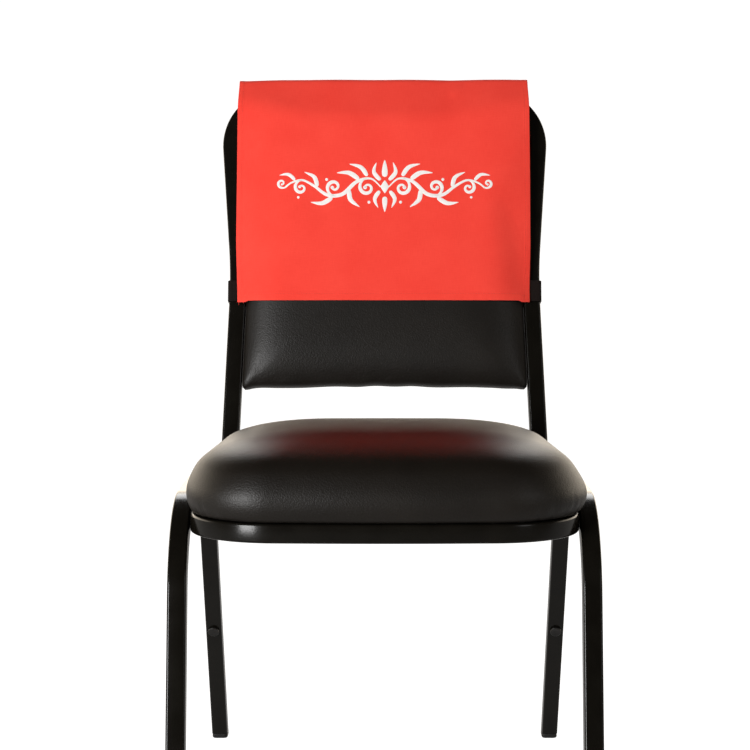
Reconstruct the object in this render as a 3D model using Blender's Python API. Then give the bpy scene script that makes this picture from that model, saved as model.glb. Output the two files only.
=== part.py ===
"""Chair back cover: one cloth folded over a chair back, with two elastic side straps, on a plain stacking chair.

Metres, +Z up, front towards -Y. The origin is on the floor, in the middle of the chair's width and depth.
"""
import math

import bpy
import bmesh
from mathutils import Vector

# Chair, overall
CHAIR_WIDTH = 0.450
CHAIR_DEPTH = 0.603
GAP = 0.0003

# Square steel tube
TUBE = 0.020
TUBE_CORNER = 0.0026
TUBE_CORNER_STEPS = 2
ARC_SAG = 0.00015

# Leg frames, one bent tube on each side
RAIL_Z = 0.372
FRONT_LEG_LEAN = math.radians(10.1)
REAR_LEG_LEAN = math.radians(27.4)
LEG_BEND = 0.102

# Feet and stacking buttons
FOOT_WIDTH = 0.0198
FOOT_LENGTH = 0.0230
FOOT_HEIGHT = 0.0070
FOOT_ROUNDING = 0.0025
BUTTON_RADIUS = 0.0068
BUTTON_HEIGHT = 0.0035
BUTTON_Z = 0.164
BUTTON_SIDES = 20
# Share of the radius, share of the height
BUTTON_LEVELS = [(1.0, 0.0), (1.0, 0.6), (0.8, 0.9), (0.45, 1.0)]

# Frame sheet: the back's plane leans back, bends forward above the seat and ends as the level seat ring
RECLINE = math.radians(12.9)
SEAT_TUBE_Z = 0.358
HEEL_Y = 0.0662
HEEL_BEND = 0.060
TOP_W = 0.4825
ARCH_DROP = 0.008
SHOULDER_X = 0.1905
SHOULDER_RADIUS = 0.062
ARCH_RADIUS = 1.9
WAIST_X = 0.1750
WAIST_W = 0.2560
WAIST_RADIUS = 0.60
HEEL_X = 0.1835
HEEL_RADIUS = 0.60
RING_CORNER_X = 0.1980
RING_CORNER_Y = -0.2765
RING_CORNER_RADIUS = 0.085
RING_FRONT_Y = -0.2840
RING_FRONT_RADIUS = 2.0

# Back pad, in the back's plane: heights along it and distances in front of it
PAD_GAP = 0.0005
PAD_FACET = 0.031
PAD_BOTTOM_W = 0.1180
PAD_BOTTOM_RISE = 0.003
PAD_BOTTOM_BOW_RADIUS = 1.0
PAD_BOTTOM_RADIUS = 0.012
PAD_MIDDLE_W = 0.2950
PAD_BACK = -0.008
PAD_CROWN = 0.0295
# Share of the outline, distance in front of the back's plane
PAD_LEVELS = [
    (0.982, PAD_BACK),
    (1.000, PAD_BACK + 0.0030),
    (1.000, 0.0080),
    (0.988, 0.0145),
    (0.955, 0.0180),
    (0.890, 0.0228),
    (0.760, 0.0270),
    (0.500, PAD_CROWN - 0.0005),
    (0.200, PAD_CROWN),
]

# Seat cushion
SEAT_BASE_Z = SEAT_TUBE_Z + TUBE / 2 + GAP
SEAT_CROWN_Z = 0.4500
SEAT_HALF_WIDTH = 0.2097
SEAT_REAR_HALF = 0.1900
SEAT_FRONT_Y = -0.2985
SEAT_REAR_Y = 0.0560
SEAT_FRONT_BOW = 0.010
SEAT_REAR_BOW = 0.004
SEAT_BOW_RADIUS = 1.6
SEAT_FRONT_RADIUS = 0.092
SEAT_REAR_RADIUS = 0.070
SEAT_MIDDLE_Y = -0.1150
# Share of the outline, share of the height; it fits between the side rails and swells over them
SEAT_LEVELS = [
    (0.940, 0.000),
    (0.985, 0.049),
    (0.995, 0.174),
    (1.018, 0.254),
    (1.018, 0.380),
    (0.988, 0.540),
    (0.955, 0.670),
    (0.900, 0.780),
    (0.810, 0.870),
    (0.670, 0.940),
    (0.450, 0.985),
    (0.200, 1.000),
]

# Cover: the cloth and its hems, and its places in the back's plane
CLOTH = 0.0013
HEM_CLOTH = 0.0021
SIDE_HEM = 0.0066
BOTTOM_HEM = 0.0090
HEM_STEP = 0.0006
COVER_HALF = 0.1765
COVER_OFFSET = -0.0014
COVER_COLUMNS = 20
COVER_RIDGE_W = TOP_W + TUBE / 2 + 0.0020
COVER_BOTTOM_W = 0.2180
COVER_TAB_DROP = 0.0014
COVER_TAB_WIDTH = 0.0120
COVER_TAB_EASE = 0.0024
COVER_RIDGE_NARROWER = 0.0020
RIDGE_NARROW_START_W = 0.4550
COVER_BOTTOM_NARROWER = 0.0020
BOTTOM_NARROW_START_W = 0.3000
COVER_FRONT_N = PAD_CROWN + 0.0005
COVER_RIDGE_FRONT_N = 0.0135
COVER_RIDGE_BACK_N = -0.0130
COVER_EDGE_N = 0.0145
COVER_PULL_START = 0.1220
COVER_CREASE_W = 0.4436
COVER_CREASE_RISE = 0.0180
CREASE_RISE_START = 0.35
COVER_CREASE_DROP = 0.0040
FOLD_STEPS = 4
BACK_FOLD_RADIUS = 0.006
RIDGE_FOLD_RADIUS = 0.008
CREASE_RADIUS = 0.060
BACK_BELLY = 0.0030
BACK_ROWS = [0.18, 0.34, 0.50, 0.66, 0.82]
SLOPE_ROWS = [0.33, 0.67]
FRONT_ROWS = [0.12, 0.24, 0.36, 0.48, 0.60, 0.70, 0.80, 0.88]

# The front's main folds, as (x, w) places, and the small dip of the top fold
VALLEY_TOP = (0.136, 0.350)
VALLEY_BOTTOM = (0.163, 0.238)
VALLEY_WIDTH = 0.016
VALLEY_DEPTH = 0.0022
VALLEY_FADE = 0.25
RIDGE_DIP_X = 0.080
RIDGE_DIP_WIDTH = 0.012
RIDGE_DIP_DEPTH = 0.0014
RIDGE_LOW_START = 0.1200

# Elastic straps
STRAP_WIDTH = 0.0254
STRAP_THICK = 0.0013
STRAP_END_X = 0.1668
STRAP_END_RISE = 0.0014
STRAP_CORNER = 0.0035
STRAP_SIDE_GAP = 0.0006

# Colours, roughness and metallic value of each material
FINISHES = {
    "red_polyester": ((0.930, 0.062, 0.040), 0.80, 0.0),
    "black_elastic": ((0.010, 0.009, 0.009), 0.85, 0.0),
    "black_vinyl": ((0.018, 0.016, 0.014), 0.42, 0.0),
    "black_enamel": ((0.012, 0.010, 0.009), 0.18, 0.0),
    "black_plastic": ((0.010, 0.010, 0.010), 0.45, 0.0),
}


def clear_objects():
    for item in list(bpy.data.objects):
        bpy.data.objects.remove(item, do_unlink=True)


def finish(name):
    """The material of that name, made the first time it is asked for."""
    found = bpy.data.materials.get(name)
    if found:
        return found
    colour, roughness, metallic = FINISHES[name]
    made = bpy.data.materials.new(name)
    made.use_nodes = True
    shader = made.node_tree.nodes["Principled BSDF"]
    shader.inputs["Base Color"].default_value = (*colour, 1.0)
    shader.inputs["Roughness"].default_value = roughness
    shader.inputs["Metallic"].default_value = metallic
    return made


def add_piece(name, bm, material, sharp_angle=35.0):
    """Turn a bmesh into a named object with outward faces and one material."""
    bmesh.ops.recalc_face_normals(bm, faces=bm.faces)
    mesh = bpy.data.meshes.new(name)
    bm.to_mesh(mesh)
    bm.free()
    mesh.shade_smooth()
    mesh.set_sharp_from_angle(angle=math.radians(sharp_angle))
    mesh.materials.append(finish(material))
    piece = bpy.data.objects.new(name, mesh)
    bpy.context.scene.collection.objects.link(piece)
    return piece


# Outlines and rings

def arc_step(radius):
    """The turn of one straight facet on an arc, for facets that lie within ARC_SAG of it."""
    return 2.0 * math.acos(1.0 - ARC_SAG / radius)


def fillet(before, corner, after, radius, steps=None):
    """Points of the arc that rounds a 2-D corner; a fixed number of steps, or as many as its turn needs."""
    before, corner, after = Vector(before), Vector(corner), Vector(after)
    arriving = (corner - before).normalized()
    leaving = (after - corner).normalized()
    turn = arriving.angle_signed(leaving)
    if abs(turn) < 1e-6 or radius == 0.0:
        return [corner.copy() for _ in range((steps or 0) + 1)]
    reach = radius * math.tan(abs(turn) / 2)
    start = corner - arriving * reach
    inward = Vector((arriving.y, -arriving.x)) * math.copysign(1.0, turn)
    centre = start + inward * radius
    count = steps or math.ceil(abs(turn) / arc_step(radius))
    arc = []
    for index in range(count + 1):
        angle = -turn * index / count
        spoke = start - centre
        turned = Vector((spoke.x * math.cos(angle) - spoke.y * math.sin(angle),
                         spoke.x * math.sin(angle) + spoke.y * math.cos(angle)))
        arc.append(centre + turned)
    return arc


def rounded_loop(corners):
    """A closed 2-D outline from corners given as (x, y, radius)."""
    loop = []
    for index, (x, y, radius) in enumerate(corners):
        before = corners[index - 1][:2]
        after = corners[(index + 1) % len(corners)][:2]
        loop.extend(fillet(before, (x, y), after, radius))
    return loop


def mirrored(right_half):
    """Corners of a symmetric closed outline, from those at x >= 0, listed from front or bottom to top."""
    left_half = [(-x, y, radius) for x, y, radius in reversed(right_half) if x > 0.0]
    return right_half + left_half


def join_rings(bm, rings, closed_path):
    """Faces between each ring of points and the next; open paths get end caps."""
    made = [[bm.verts.new(point) for point in ring] for ring in rings]
    pairs = list(zip(made, made[1:]))
    if closed_path:
        pairs.append((made[-1], made[0]))
    for near, far in pairs:
        for index in range(len(near)):
            following = (index + 1) % len(near)
            bm.faces.new((near[index], near[following], far[following], far[index]))
    if not closed_path:
        bm.faces.new(made[0])
        bm.faces.new(list(reversed(made[-1])))


def square_profile():
    """The tube's section: a square with rounded corners, as (across, out) offsets."""
    middle = TUBE / 2 - TUBE_CORNER
    points = []
    for quarter in range(4):
        base = quarter * math.pi / 2
        centre_x = math.copysign(middle, math.cos(base + math.pi / 4))
        centre_y = math.copysign(middle, math.sin(base + math.pi / 4))
        for step in range(TUBE_CORNER_STEPS + 1):
            angle = base + step / TUBE_CORNER_STEPS * math.pi / 2
            points.append((centre_x + TUBE_CORNER * math.cos(angle), centre_y + TUBE_CORNER * math.sin(angle)))
    return points


# The frame sheet, a flat plan bent to the chair's side view

BEND_TURN = math.pi / 2 - RECLINE
BEND_TOP_W = HEEL_BEND * math.tan(BEND_TURN / 2)
BEND_END_W = BEND_TOP_W - HEEL_BEND * BEND_TURN
BEND_END_Y = HEEL_Y - BEND_TOP_W


def sheet_point(x, w, n=0.0):
    """A point of the sheet at width x and run w, at n in front of the back or above the seat ring."""
    if w >= BEND_TOP_W:
        facing = RECLINE
        y = HEEL_Y + w * math.sin(RECLINE)
        z = SEAT_TUBE_Z + w * math.cos(RECLINE)
    elif w > BEND_END_W:
        facing = RECLINE + (BEND_TOP_W - w) / HEEL_BEND
        y = BEND_END_Y + HEEL_BEND * math.cos(facing)
        z = SEAT_TUBE_Z + HEEL_BEND * (1.0 - math.sin(facing))
    else:
        facing = math.pi / 2
        y = BEND_END_Y - (BEND_END_W - w)
        z = SEAT_TUBE_Z
    return Vector((x, y - n * math.cos(facing), z + n * math.sin(facing)))


def ring_run(y):
    """The sheet's run at a place y along the level seat ring."""
    return BEND_END_W - (BEND_END_Y - y)


def inset_corners(corners, inset):
    """Corners of a counter-clockwise closed outline moved inwards, with their radii to match."""
    moved = []
    for index, (x, y, radius) in enumerate(corners):
        corner = Vector((x, y))
        arriving = (corner - Vector(corners[index - 1][:2])).normalized()
        leaving = (Vector(corners[(index + 1) % len(corners)][:2]) - corner).normalized()
        inward = Vector((-arriving.y - leaving.y, arriving.x + leaving.x)) / (1.0 + arriving.dot(leaving))
        place = corner + inward * inset
        convex = arriving.cross(leaving) > 0.0
        moved.append((place.x, place.y, radius - inset if convex else radius + inset))
    return moved


def split_at_runs(loop, runs):
    """Add a point where a closed outline crosses each of the given runs."""
    result = []
    for index, start in enumerate(loop):
        end = loop[(index + 1) % len(loop)]
        crossed = [w for w in runs if min(start.y, end.y) + 1e-6 < w < max(start.y, end.y) - 1e-6]
        crossed.sort(reverse=end.y < start.y)
        result.append(start)
        for w in crossed:
            result.append(start.lerp(end, (w - start.y) / (end.y - start.y)))
    return result


def frame_corners():
    """The right half of the tube's middle line, from the ring's front to the top of the arch."""
    return [
        (0.0, ring_run(RING_FRONT_Y), RING_FRONT_RADIUS),
        (RING_CORNER_X, ring_run(RING_CORNER_Y), RING_CORNER_RADIUS),
        (HEEL_X, BEND_TOP_W, HEEL_RADIUS),
        (WAIST_X, WAIST_W, WAIST_RADIUS),
        (SHOULDER_X, TOP_W - ARCH_DROP, SHOULDER_RADIUS),
        (0.0, TOP_W, ARCH_RADIUS),
    ]


def make_back_and_seat_tube():
    steps = math.ceil(BEND_TURN / arc_step(HEEL_BEND))
    bend_runs = [BEND_END_W + (BEND_TOP_W - BEND_END_W) * step / steps for step in range(steps + 1)]
    loop = split_at_runs(rounded_loop(mirrored(frame_corners())), bend_runs)
    profile = square_profile()
    rings = []
    for index, point in enumerate(loop):
        arriving = (point - loop[index - 1]).normalized()
        leaving = (loop[(index + 1) % len(loop)] - point).normalized()
        along = (arriving + leaving).normalized()
        across = Vector((along.y, -along.x)) / along.dot(leaving)
        rings.append([sheet_point(point.x + a * across.x, point.y + a * across.y, b) for a, b in profile])
    bm = bmesh.new()
    join_rings(bm, rings, closed_path=True)
    return add_piece("back_and_seat_tube", bm, "black_enamel")


# Leg frames, feet and buttons

def foot_places():
    """The y of the front and rear feet."""
    reach = CHAIR_DEPTH / 2 - FOOT_LENGTH / 2
    return -reach, reach


def make_leg_frame(name, side):
    front_y, rear_y = foot_places()
    end_z = FOOT_HEIGHT + GAP
    corners = [
        (front_y + end_z * math.tan(FRONT_LEG_LEAN), end_z),
        (front_y + RAIL_Z * math.tan(FRONT_LEG_LEAN), RAIL_Z),
        (rear_y - RAIL_Z * math.tan(REAR_LEG_LEAN), RAIL_Z),
        (rear_y - end_z * math.tan(REAR_LEG_LEAN), end_z),
    ]
    path = [Vector(corners[0])]
    path += fillet(corners[0], corners[1], corners[2], LEG_BEND)
    path += fillet(corners[1], corners[2], corners[3], LEG_BEND)
    path.append(Vector(corners[3]))
    x = side * (CHAIR_WIDTH - TUBE) / 2
    rings = []
    for index, point in enumerate(path):
        if index == 0:
            across = Vector((-1.0 / math.cos(FRONT_LEG_LEAN), 0.0))
        elif index == len(path) - 1:
            across = Vector((1.0 / math.cos(REAR_LEG_LEAN), 0.0))
        else:
            arriving = (point - path[index - 1]).normalized()
            leaving = (path[index + 1] - point).normalized()
            along = (arriving + leaving).normalized()
            across = Vector((-along.y, along.x)) / along.dot(leaving)
        rings.append([Vector((x + b, point.x + a * across.x, point.y + a * across.y))
                      for a, b in square_profile()])
    bm = bmesh.new()
    join_rings(bm, rings, closed_path=False)
    return add_piece(name, bm, "black_enamel")


def make_foot(name, side, y):
    bm = bmesh.new()
    bmesh.ops.create_cube(bm, size=1.0)
    bmesh.ops.scale(bm, vec=(FOOT_WIDTH, FOOT_LENGTH, FOOT_HEIGHT), verts=bm.verts)
    bmesh.ops.bevel(bm, geom=list(bm.edges), offset=FOOT_ROUNDING, segments=2, profile=0.5, affect="EDGES")
    foot = add_piece(name, bm, "black_plastic", sharp_angle=60.0)
    foot.location = (side * (CHAIR_WIDTH - TUBE) / 2, y, FOOT_HEIGHT / 2)
    return foot


def make_button(name, side):
    """A low domed disc that lies square on the front face of a rear leg."""
    rings = []
    for width, height in BUTTON_LEVELS:
        radius = BUTTON_RADIUS * width
        angles = [math.tau * step / BUTTON_SIDES for step in range(BUTTON_SIDES)]
        rings.append([Vector((radius * math.cos(angle), radius * math.sin(angle), BUTTON_HEIGHT * height))
                      for angle in angles])
    bm = bmesh.new()
    join_rings(bm, rings, closed_path=False)
    button = add_piece(name, bm, "black_plastic")
    rear_y = foot_places()[1]
    axis_y = rear_y - BUTTON_Z * math.tan(REAR_LEG_LEAN)
    out = Vector((0.0, -math.cos(REAR_LEG_LEAN), -math.sin(REAR_LEG_LEAN)))
    button.location = Vector((side * (CHAIR_WIDTH - TUBE) / 2, axis_y, BUTTON_Z)) + out * (TUBE / 2 + GAP)
    button.rotation_euler = out.to_track_quat("Z", "Y").to_euler()
    return button


# Soft pads, each a stack of outlines drawn in towards its middle

def stack_outlines(outline, middle, levels, place):
    """Rings of an outline scaled about its middle, as (scale, height) levels, put in space by place."""
    rings = []
    for scale, height in levels:
        rings.append([place(middle[0] + (point.x - middle[0]) * scale,
                            middle[1] + (point.y - middle[1]) * scale, height) for point in outline])
    return rings


def split_long(loop, longest):
    """Even out a closed outline by cutting its long stretches."""
    result = []
    for index, start in enumerate(loop):
        end = loop[(index + 1) % len(loop)]
        count = max(1, math.ceil((end - start).length / longest))
        result += [start.lerp(end, step / count) for step in range(count)]
    return result


def without_doubles(loop):
    """A closed outline with no two neighbouring points in one place."""
    return [point for index, point in enumerate(loop) if (point - loop[index - 1]).length > 1e-5]


def make_back_pad():
    """The pad fills the arch between the uprights, with its lower corners a little below its middle."""
    right = inset_corners(mirrored(frame_corners()), TUBE / 2 + PAD_GAP)[:len(frame_corners())]
    heel, waist, shoulder, top = right[2:]
    share = (waist[1] - PAD_BOTTOM_W) / (waist[1] - heel[1])
    bottom_x = waist[0] + (heel[0] - waist[0]) * share
    half = [
        (0.0, PAD_BOTTOM_W + PAD_BOTTOM_RISE, PAD_BOTTOM_BOW_RADIUS),
        (bottom_x, PAD_BOTTOM_W, PAD_BOTTOM_RADIUS),
        waist, shoulder, top,
    ]
    outline = without_doubles(split_long(rounded_loop(mirrored(half)), PAD_FACET))
    bm = bmesh.new()
    join_rings(bm, stack_outlines(outline, (0.0, PAD_MIDDLE_W), PAD_LEVELS, sheet_point), closed_path=False)
    return add_piece("back_pad", bm, "black_vinyl", sharp_angle=50.0)


def make_seat_cushion():
    half = [
        (0.0, SEAT_FRONT_Y, SEAT_BOW_RADIUS),
        (SEAT_HALF_WIDTH, SEAT_FRONT_Y + SEAT_FRONT_BOW, SEAT_FRONT_RADIUS),
        (SEAT_REAR_HALF, SEAT_REAR_Y - SEAT_REAR_BOW, SEAT_REAR_RADIUS),
        (0.0, SEAT_REAR_Y, SEAT_BOW_RADIUS),
    ]
    outline = without_doubles(split_long(rounded_loop(mirrored(half)), PAD_FACET))
    levels = [(share, SEAT_BASE_Z + height * (SEAT_CROWN_Z - SEAT_BASE_Z)) for share, height in SEAT_LEVELS]
    bm = bmesh.new()
    rings = stack_outlines(outline, (0.0, SEAT_MIDDLE_Y), levels, lambda x, y, z: Vector((x, y, z)))
    join_rings(bm, rings, closed_path=False)
    return add_piece("seat_cushion", bm, "black_vinyl", sharp_angle=50.0)


# Cover and straps

def smooth(value):
    """Ease from 0 to 1."""
    value = min(1.0, max(0.0, value))
    return value * value * (3.0 - 2.0 * value)


def cover_half_width(w):
    """Half the cover's width at a height: a little less at the ridge and at the strapped bottom."""
    near_ridge = smooth((w - RIDGE_NARROW_START_W) / (COVER_RIDGE_W - RIDGE_NARROW_START_W))
    near_bottom = smooth((BOTTOM_NARROW_START_W - w) / (BOTTOM_NARROW_START_W - COVER_BOTTOM_W))
    return COVER_HALF - COVER_RIDGE_NARROWER * near_ridge - COVER_BOTTOM_NARROWER * near_bottom


def ridge_height(x):
    """Where the top fold lies: nearly straight, with one small dip and a low left end."""
    dip = math.exp(-((x - RIDGE_DIP_X) / RIDGE_DIP_WIDTH) ** 2)
    left_end = smooth((-x - RIDGE_LOW_START) / (COVER_HALF - RIDGE_LOW_START))
    return COVER_RIDGE_W + RIDGE_DIP_DEPTH * (1.0 - dip - left_end)


def valley_depth(x, w):
    """How far the shallow slanting fold on the right of the front lies below the panel."""
    top, bottom = Vector(VALLEY_TOP), Vector(VALLEY_BOTTOM)
    share = (top.y - w) / (top.y - bottom.y)
    line_x = top.lerp(bottom, min(1.0, max(0.0, share))).x
    strength = smooth((share + VALLEY_FADE) / VALLEY_FADE / 2.0) * smooth((1.0 - share) / VALLEY_FADE)
    return VALLEY_DEPTH * strength * math.exp(-((x - line_x) / VALLEY_WIDTH) ** 2)


def hem_shares(length, hem):
    """Shares of a length where the hem at its far end begins, just before and just at the step."""
    return [1.0 - (hem + HEM_STEP) / length, 1.0 - hem / length]


def cover_column(across):
    """The cloth's inner side over the chair back, as (w, n) points from the back hem to the front one.

    across runs from -1 at the left edge to 1 at the right one.
    """
    reach = abs(across)
    x = COVER_OFFSET + across * COVER_HALF
    pull = max(0.0, (reach * COVER_HALF - COVER_PULL_START) / (COVER_HALF - COVER_PULL_START)) ** 2
    front_bottom_n = COVER_FRONT_N + (COVER_EDGE_N - COVER_FRONT_N) * pull
    crease_n = COVER_FRONT_N - COVER_CREASE_DROP * reach ** 4
    crease_w = COVER_CREASE_W + COVER_CREASE_RISE * smooth((reach - CREASE_RISE_START) / (1.0 - CREASE_RISE_START))
    ridge_w = ridge_height(x)
    edge_distance = (1.0 - reach) * COVER_HALF
    bottom_w = COVER_BOTTOM_W - COVER_TAB_DROP * smooth((COVER_TAB_WIDTH - edge_distance) / COVER_TAB_EASE)
    back_bottom = Vector((bottom_w, -COVER_EDGE_N))
    back_top = Vector((ridge_w, COVER_RIDGE_BACK_N))
    front_top = Vector((ridge_w, COVER_RIDGE_FRONT_N))
    crease = Vector((crease_w, crease_n))
    front_bottom = Vector((bottom_w, front_bottom_n))

    back_arc = fillet(back_bottom, back_top, front_top, BACK_FOLD_RADIUS, FOLD_STEPS)
    ridge_arc = fillet(back_top, front_top, crease, RIDGE_FOLD_RADIUS, FOLD_STEPS)
    crease_arc = fillet(front_top, crease, front_bottom, CREASE_RADIUS, FOLD_STEPS)
    length = COVER_RIDGE_W - COVER_BOTTOM_W
    hem = hem_shares(length, BOTTOM_HEM)
    back_shares = [0.0] + [1.0 - share for share in reversed(hem)] + BACK_ROWS
    column = []
    for share in back_shares:
        point = back_bottom.lerp(back_arc[0], share)
        column.append(point - Vector((0.0, BACK_BELLY * math.sin(math.pi * share))))
    column += back_arc + ridge_arc
    column += [ridge_arc[-1].lerp(crease_arc[0], share) for share in SLOPE_ROWS]
    column += crease_arc
    for share in FRONT_ROWS + hem + [1.0]:
        point = crease_arc[-1].lerp(front_bottom, share)
        column.append(point - Vector((0.0, valley_depth(x, point.x))))
    return column


def cover_shares():
    """Places across the cloth from -1 to 1, with a step at each side hem."""
    hem = hem_shares(COVER_HALF, SIDE_HEM)
    inner = [hem[0] * (2.0 * step / COVER_COLUMNS - 1.0) for step in range(1, COVER_COLUMNS)]
    return [-1.0, -hem[1], -hem[0]] + inner + [hem[0], hem[1], 1.0]


def make_cover():
    """The cloth's inner side as one surface, thickened outwards, and thicker along its hems."""
    shares = cover_shares()
    columns = [cover_column(across) for across in shares]
    rows = len(columns[0])
    bm = bmesh.new()
    grid = []
    for across, column in zip(shares, columns):
        grid.append([bm.verts.new(sheet_point(COVER_OFFSET + across * cover_half_width(point.x), point.x, point.y))
                     for point in column])
    for near, far in zip(grid, grid[1:]):
        for row in range(rows - 1):
            bm.faces.new((near[row], near[row + 1], far[row + 1], far[row]))
    mesh = bpy.data.meshes.new("cover")
    bm.to_mesh(mesh)
    bm.free()
    mesh.shade_smooth()
    mesh.materials.append(finish("red_polyester"))
    cover = bpy.data.objects.new("cover", mesh)
    bpy.context.scene.collection.objects.link(cover)
    hems = cover.vertex_groups.new(name="hems")
    last = len(shares) - 1
    for column in range(last + 1):
        for row in range(rows):
            if column in (0, 1, last - 1, last) or row in (0, 1, rows - 2, rows - 1):
                hems.add([column * rows + row], 1.0, "REPLACE")
    thicken = cover.modifiers.new("cloth", "SOLIDIFY")
    thicken.thickness = HEM_CLOTH
    thicken.offset = 1.0
    thicken.vertex_group = hems.name
    thicken.thickness_vertex_group = CLOTH / HEM_CLOTH
    return cover


def upright_x(w):
    """The middle of the right upright at a run up the back."""
    loop = rounded_loop(mirrored(frame_corners()))
    for start, end in zip(loop, loop[1:]):
        if start.x > 0.0 and start.y <= w < end.y:
            return start.lerp(end, (w - start.y) / (end.y - start.y)).x
    raise ValueError("no upright at this run")


def make_strap(name, side):
    """An elastic band from the front panel's hem, round the outside of an upright, to the back panel's hem."""
    low_w = COVER_BOTTOM_W + GAP
    high_w = low_w + STRAP_WIDTH
    side_x = upright_x((low_w + high_w) / 2) + TUBE / 2 + STRAP_SIDE_GAP + STRAP_THICK / 2
    panel_n = COVER_EDGE_N - GAP - STRAP_THICK / 2
    edge_x = COVER_HALF - COVER_BOTTOM_NARROWER
    corners = [
        (STRAP_END_X, panel_n + STRAP_END_RISE),
        (edge_x, panel_n),
        (side_x, panel_n),
        (side_x, -panel_n),
        (STRAP_END_X, -panel_n),
    ]
    path = [Vector(corners[0])]
    for before, corner, after in zip(corners, corners[1:], corners[2:]):
        path += fillet(before, corner, after, STRAP_CORNER)
    path.append(Vector(corners[-1]))
    rings = []
    for index, point in enumerate(path):
        arriving = (point - path[max(0, index - 1)]).normalized()
        leaving = (path[min(len(path) - 1, index + 1)] - point).normalized()
        along = (arriving + leaving).normalized()
        out = Vector((along.y, -along.x)) * STRAP_THICK / 2
        inner, outer = point - out, point + out
        rings.append([sheet_point(side * inner.x, low_w, inner.y), sheet_point(side * outer.x, low_w, outer.y),
                      sheet_point(side * outer.x, high_w, outer.y), sheet_point(side * inner.x, high_w, inner.y)])
    bm = bmesh.new()
    join_rings(bm, rings, closed_path=False)
    return add_piece(name, bm, "black_elastic")


def main():
    clear_objects()
    make_cover()
    make_back_and_seat_tube()
    make_back_pad()
    make_seat_cushion()
    front_y, rear_y = foot_places()
    for word, side in (("left", -1), ("right", 1)):
        make_strap(f"strap_{word}", side)
        make_leg_frame(f"leg_frame_{word}", side)
        make_foot(f"foot_front_{word}", side, front_y)
        make_foot(f"foot_rear_{word}", side, rear_y)
        make_button(f"button_{word}", side)


main()
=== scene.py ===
"""Looks of a chair back cover on a stacking chair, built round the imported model.

Metres, +Z up, front towards -Y. The origin is on the floor, in the middle of the chair's width and depth.
"""
import math

import bpy
import bmesh
import numpy as np
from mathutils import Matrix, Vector, noise


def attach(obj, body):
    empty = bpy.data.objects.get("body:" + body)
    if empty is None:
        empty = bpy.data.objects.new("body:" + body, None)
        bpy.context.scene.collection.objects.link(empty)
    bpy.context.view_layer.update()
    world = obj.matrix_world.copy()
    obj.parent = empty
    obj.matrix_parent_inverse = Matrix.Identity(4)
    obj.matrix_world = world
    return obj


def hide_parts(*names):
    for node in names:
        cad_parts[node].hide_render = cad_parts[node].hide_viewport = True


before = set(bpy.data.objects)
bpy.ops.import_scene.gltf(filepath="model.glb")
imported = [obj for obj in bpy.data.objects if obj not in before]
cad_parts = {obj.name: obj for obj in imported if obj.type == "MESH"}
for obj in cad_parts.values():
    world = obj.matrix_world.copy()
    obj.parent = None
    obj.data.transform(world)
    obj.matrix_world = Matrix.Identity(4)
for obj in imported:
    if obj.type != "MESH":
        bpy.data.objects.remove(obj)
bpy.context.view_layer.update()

MM = 0.001

# Chair sizes, as the solids have them
CHAIR_WIDTH = 0.450
CHAIR_DEPTH = 0.603
GAP = 0.0003
TUBE = 0.020
TUBE_CORNER = 0.0026
RAIL_Z = 0.372
FRONT_LEG_LEAN = math.radians(10.1)
REAR_LEG_LEAN = math.radians(27.4)
LEG_BEND = 0.102
FOOT_WIDTH = 0.0198
FOOT_LENGTH = 0.0230
FOOT_HEIGHT = 0.0070
BUTTON_RADIUS = 0.0068
BUTTON_HEIGHT = 0.0035
BUTTON_Z = 0.164
LEG_X = (CHAIR_WIDTH - TUBE) / 2
FOOT_Y = CHAIR_DEPTH / 2 - FOOT_LENGTH / 2

# Frame sheet: the back's plane leans back, bends forward above the seat and ends as the level seat ring
RECLINE = math.radians(12.9)
SEAT_TUBE_Z = 0.358
HEEL_Y = 0.0662
HEEL_BEND = 0.060
TOP_W = 0.4825
ARCH_DROP = 0.008
SHOULDER_X = 0.1905
SHOULDER_RADIUS = 0.062
ARCH_RADIUS = 1.9
WAIST_X = 0.1750
WAIST_W = 0.2560
WAIST_RADIUS = 0.60
HEEL_X = 0.1835
HEEL_RADIUS = 0.60
RING_CORNER_X = 0.1980
RING_CORNER_Y = -0.2765
RING_CORNER_RADIUS = 0.085
RING_FRONT_Y = -0.2840
RING_FRONT_RADIUS = 2.0
BEND_TURN = math.pi / 2 - RECLINE
BEND_TOP_W = HEEL_BEND * math.tan(BEND_TURN / 2)
BEND_END_W = BEND_TOP_W - HEEL_BEND * BEND_TURN
BEND_END_Y = HEEL_Y - BEND_TOP_W

# Back pad
PAD_GAP = 0.0008
PAD_BOTTOM_W = 0.1198
PAD_BOTTOM_RISE = 0.003
PAD_BOTTOM_BOW_RADIUS = 1.0
PAD_BOTTOM_RADIUS = 0.006
PAD_EAR_DROP = 0.0022
PAD_EAR_SIZE = 0.0090
PAD_MIDDLE_W = 0.2950
PAD_BACK = -0.008
PAD_CROWN = 0.0295
# Share of the outline, distance in front of the back's plane
PAD_LEVELS = [
    (0.000, PAD_CROWN), (0.200, PAD_CROWN), (0.500, PAD_CROWN - 0.0005), (0.760, 0.0270), (0.890, 0.0228),
    (0.955, 0.0180), (0.988, 0.0145), (1.000, 0.0080), (1.000, PAD_BACK + 0.0030), (0.982, PAD_BACK),
]

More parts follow.
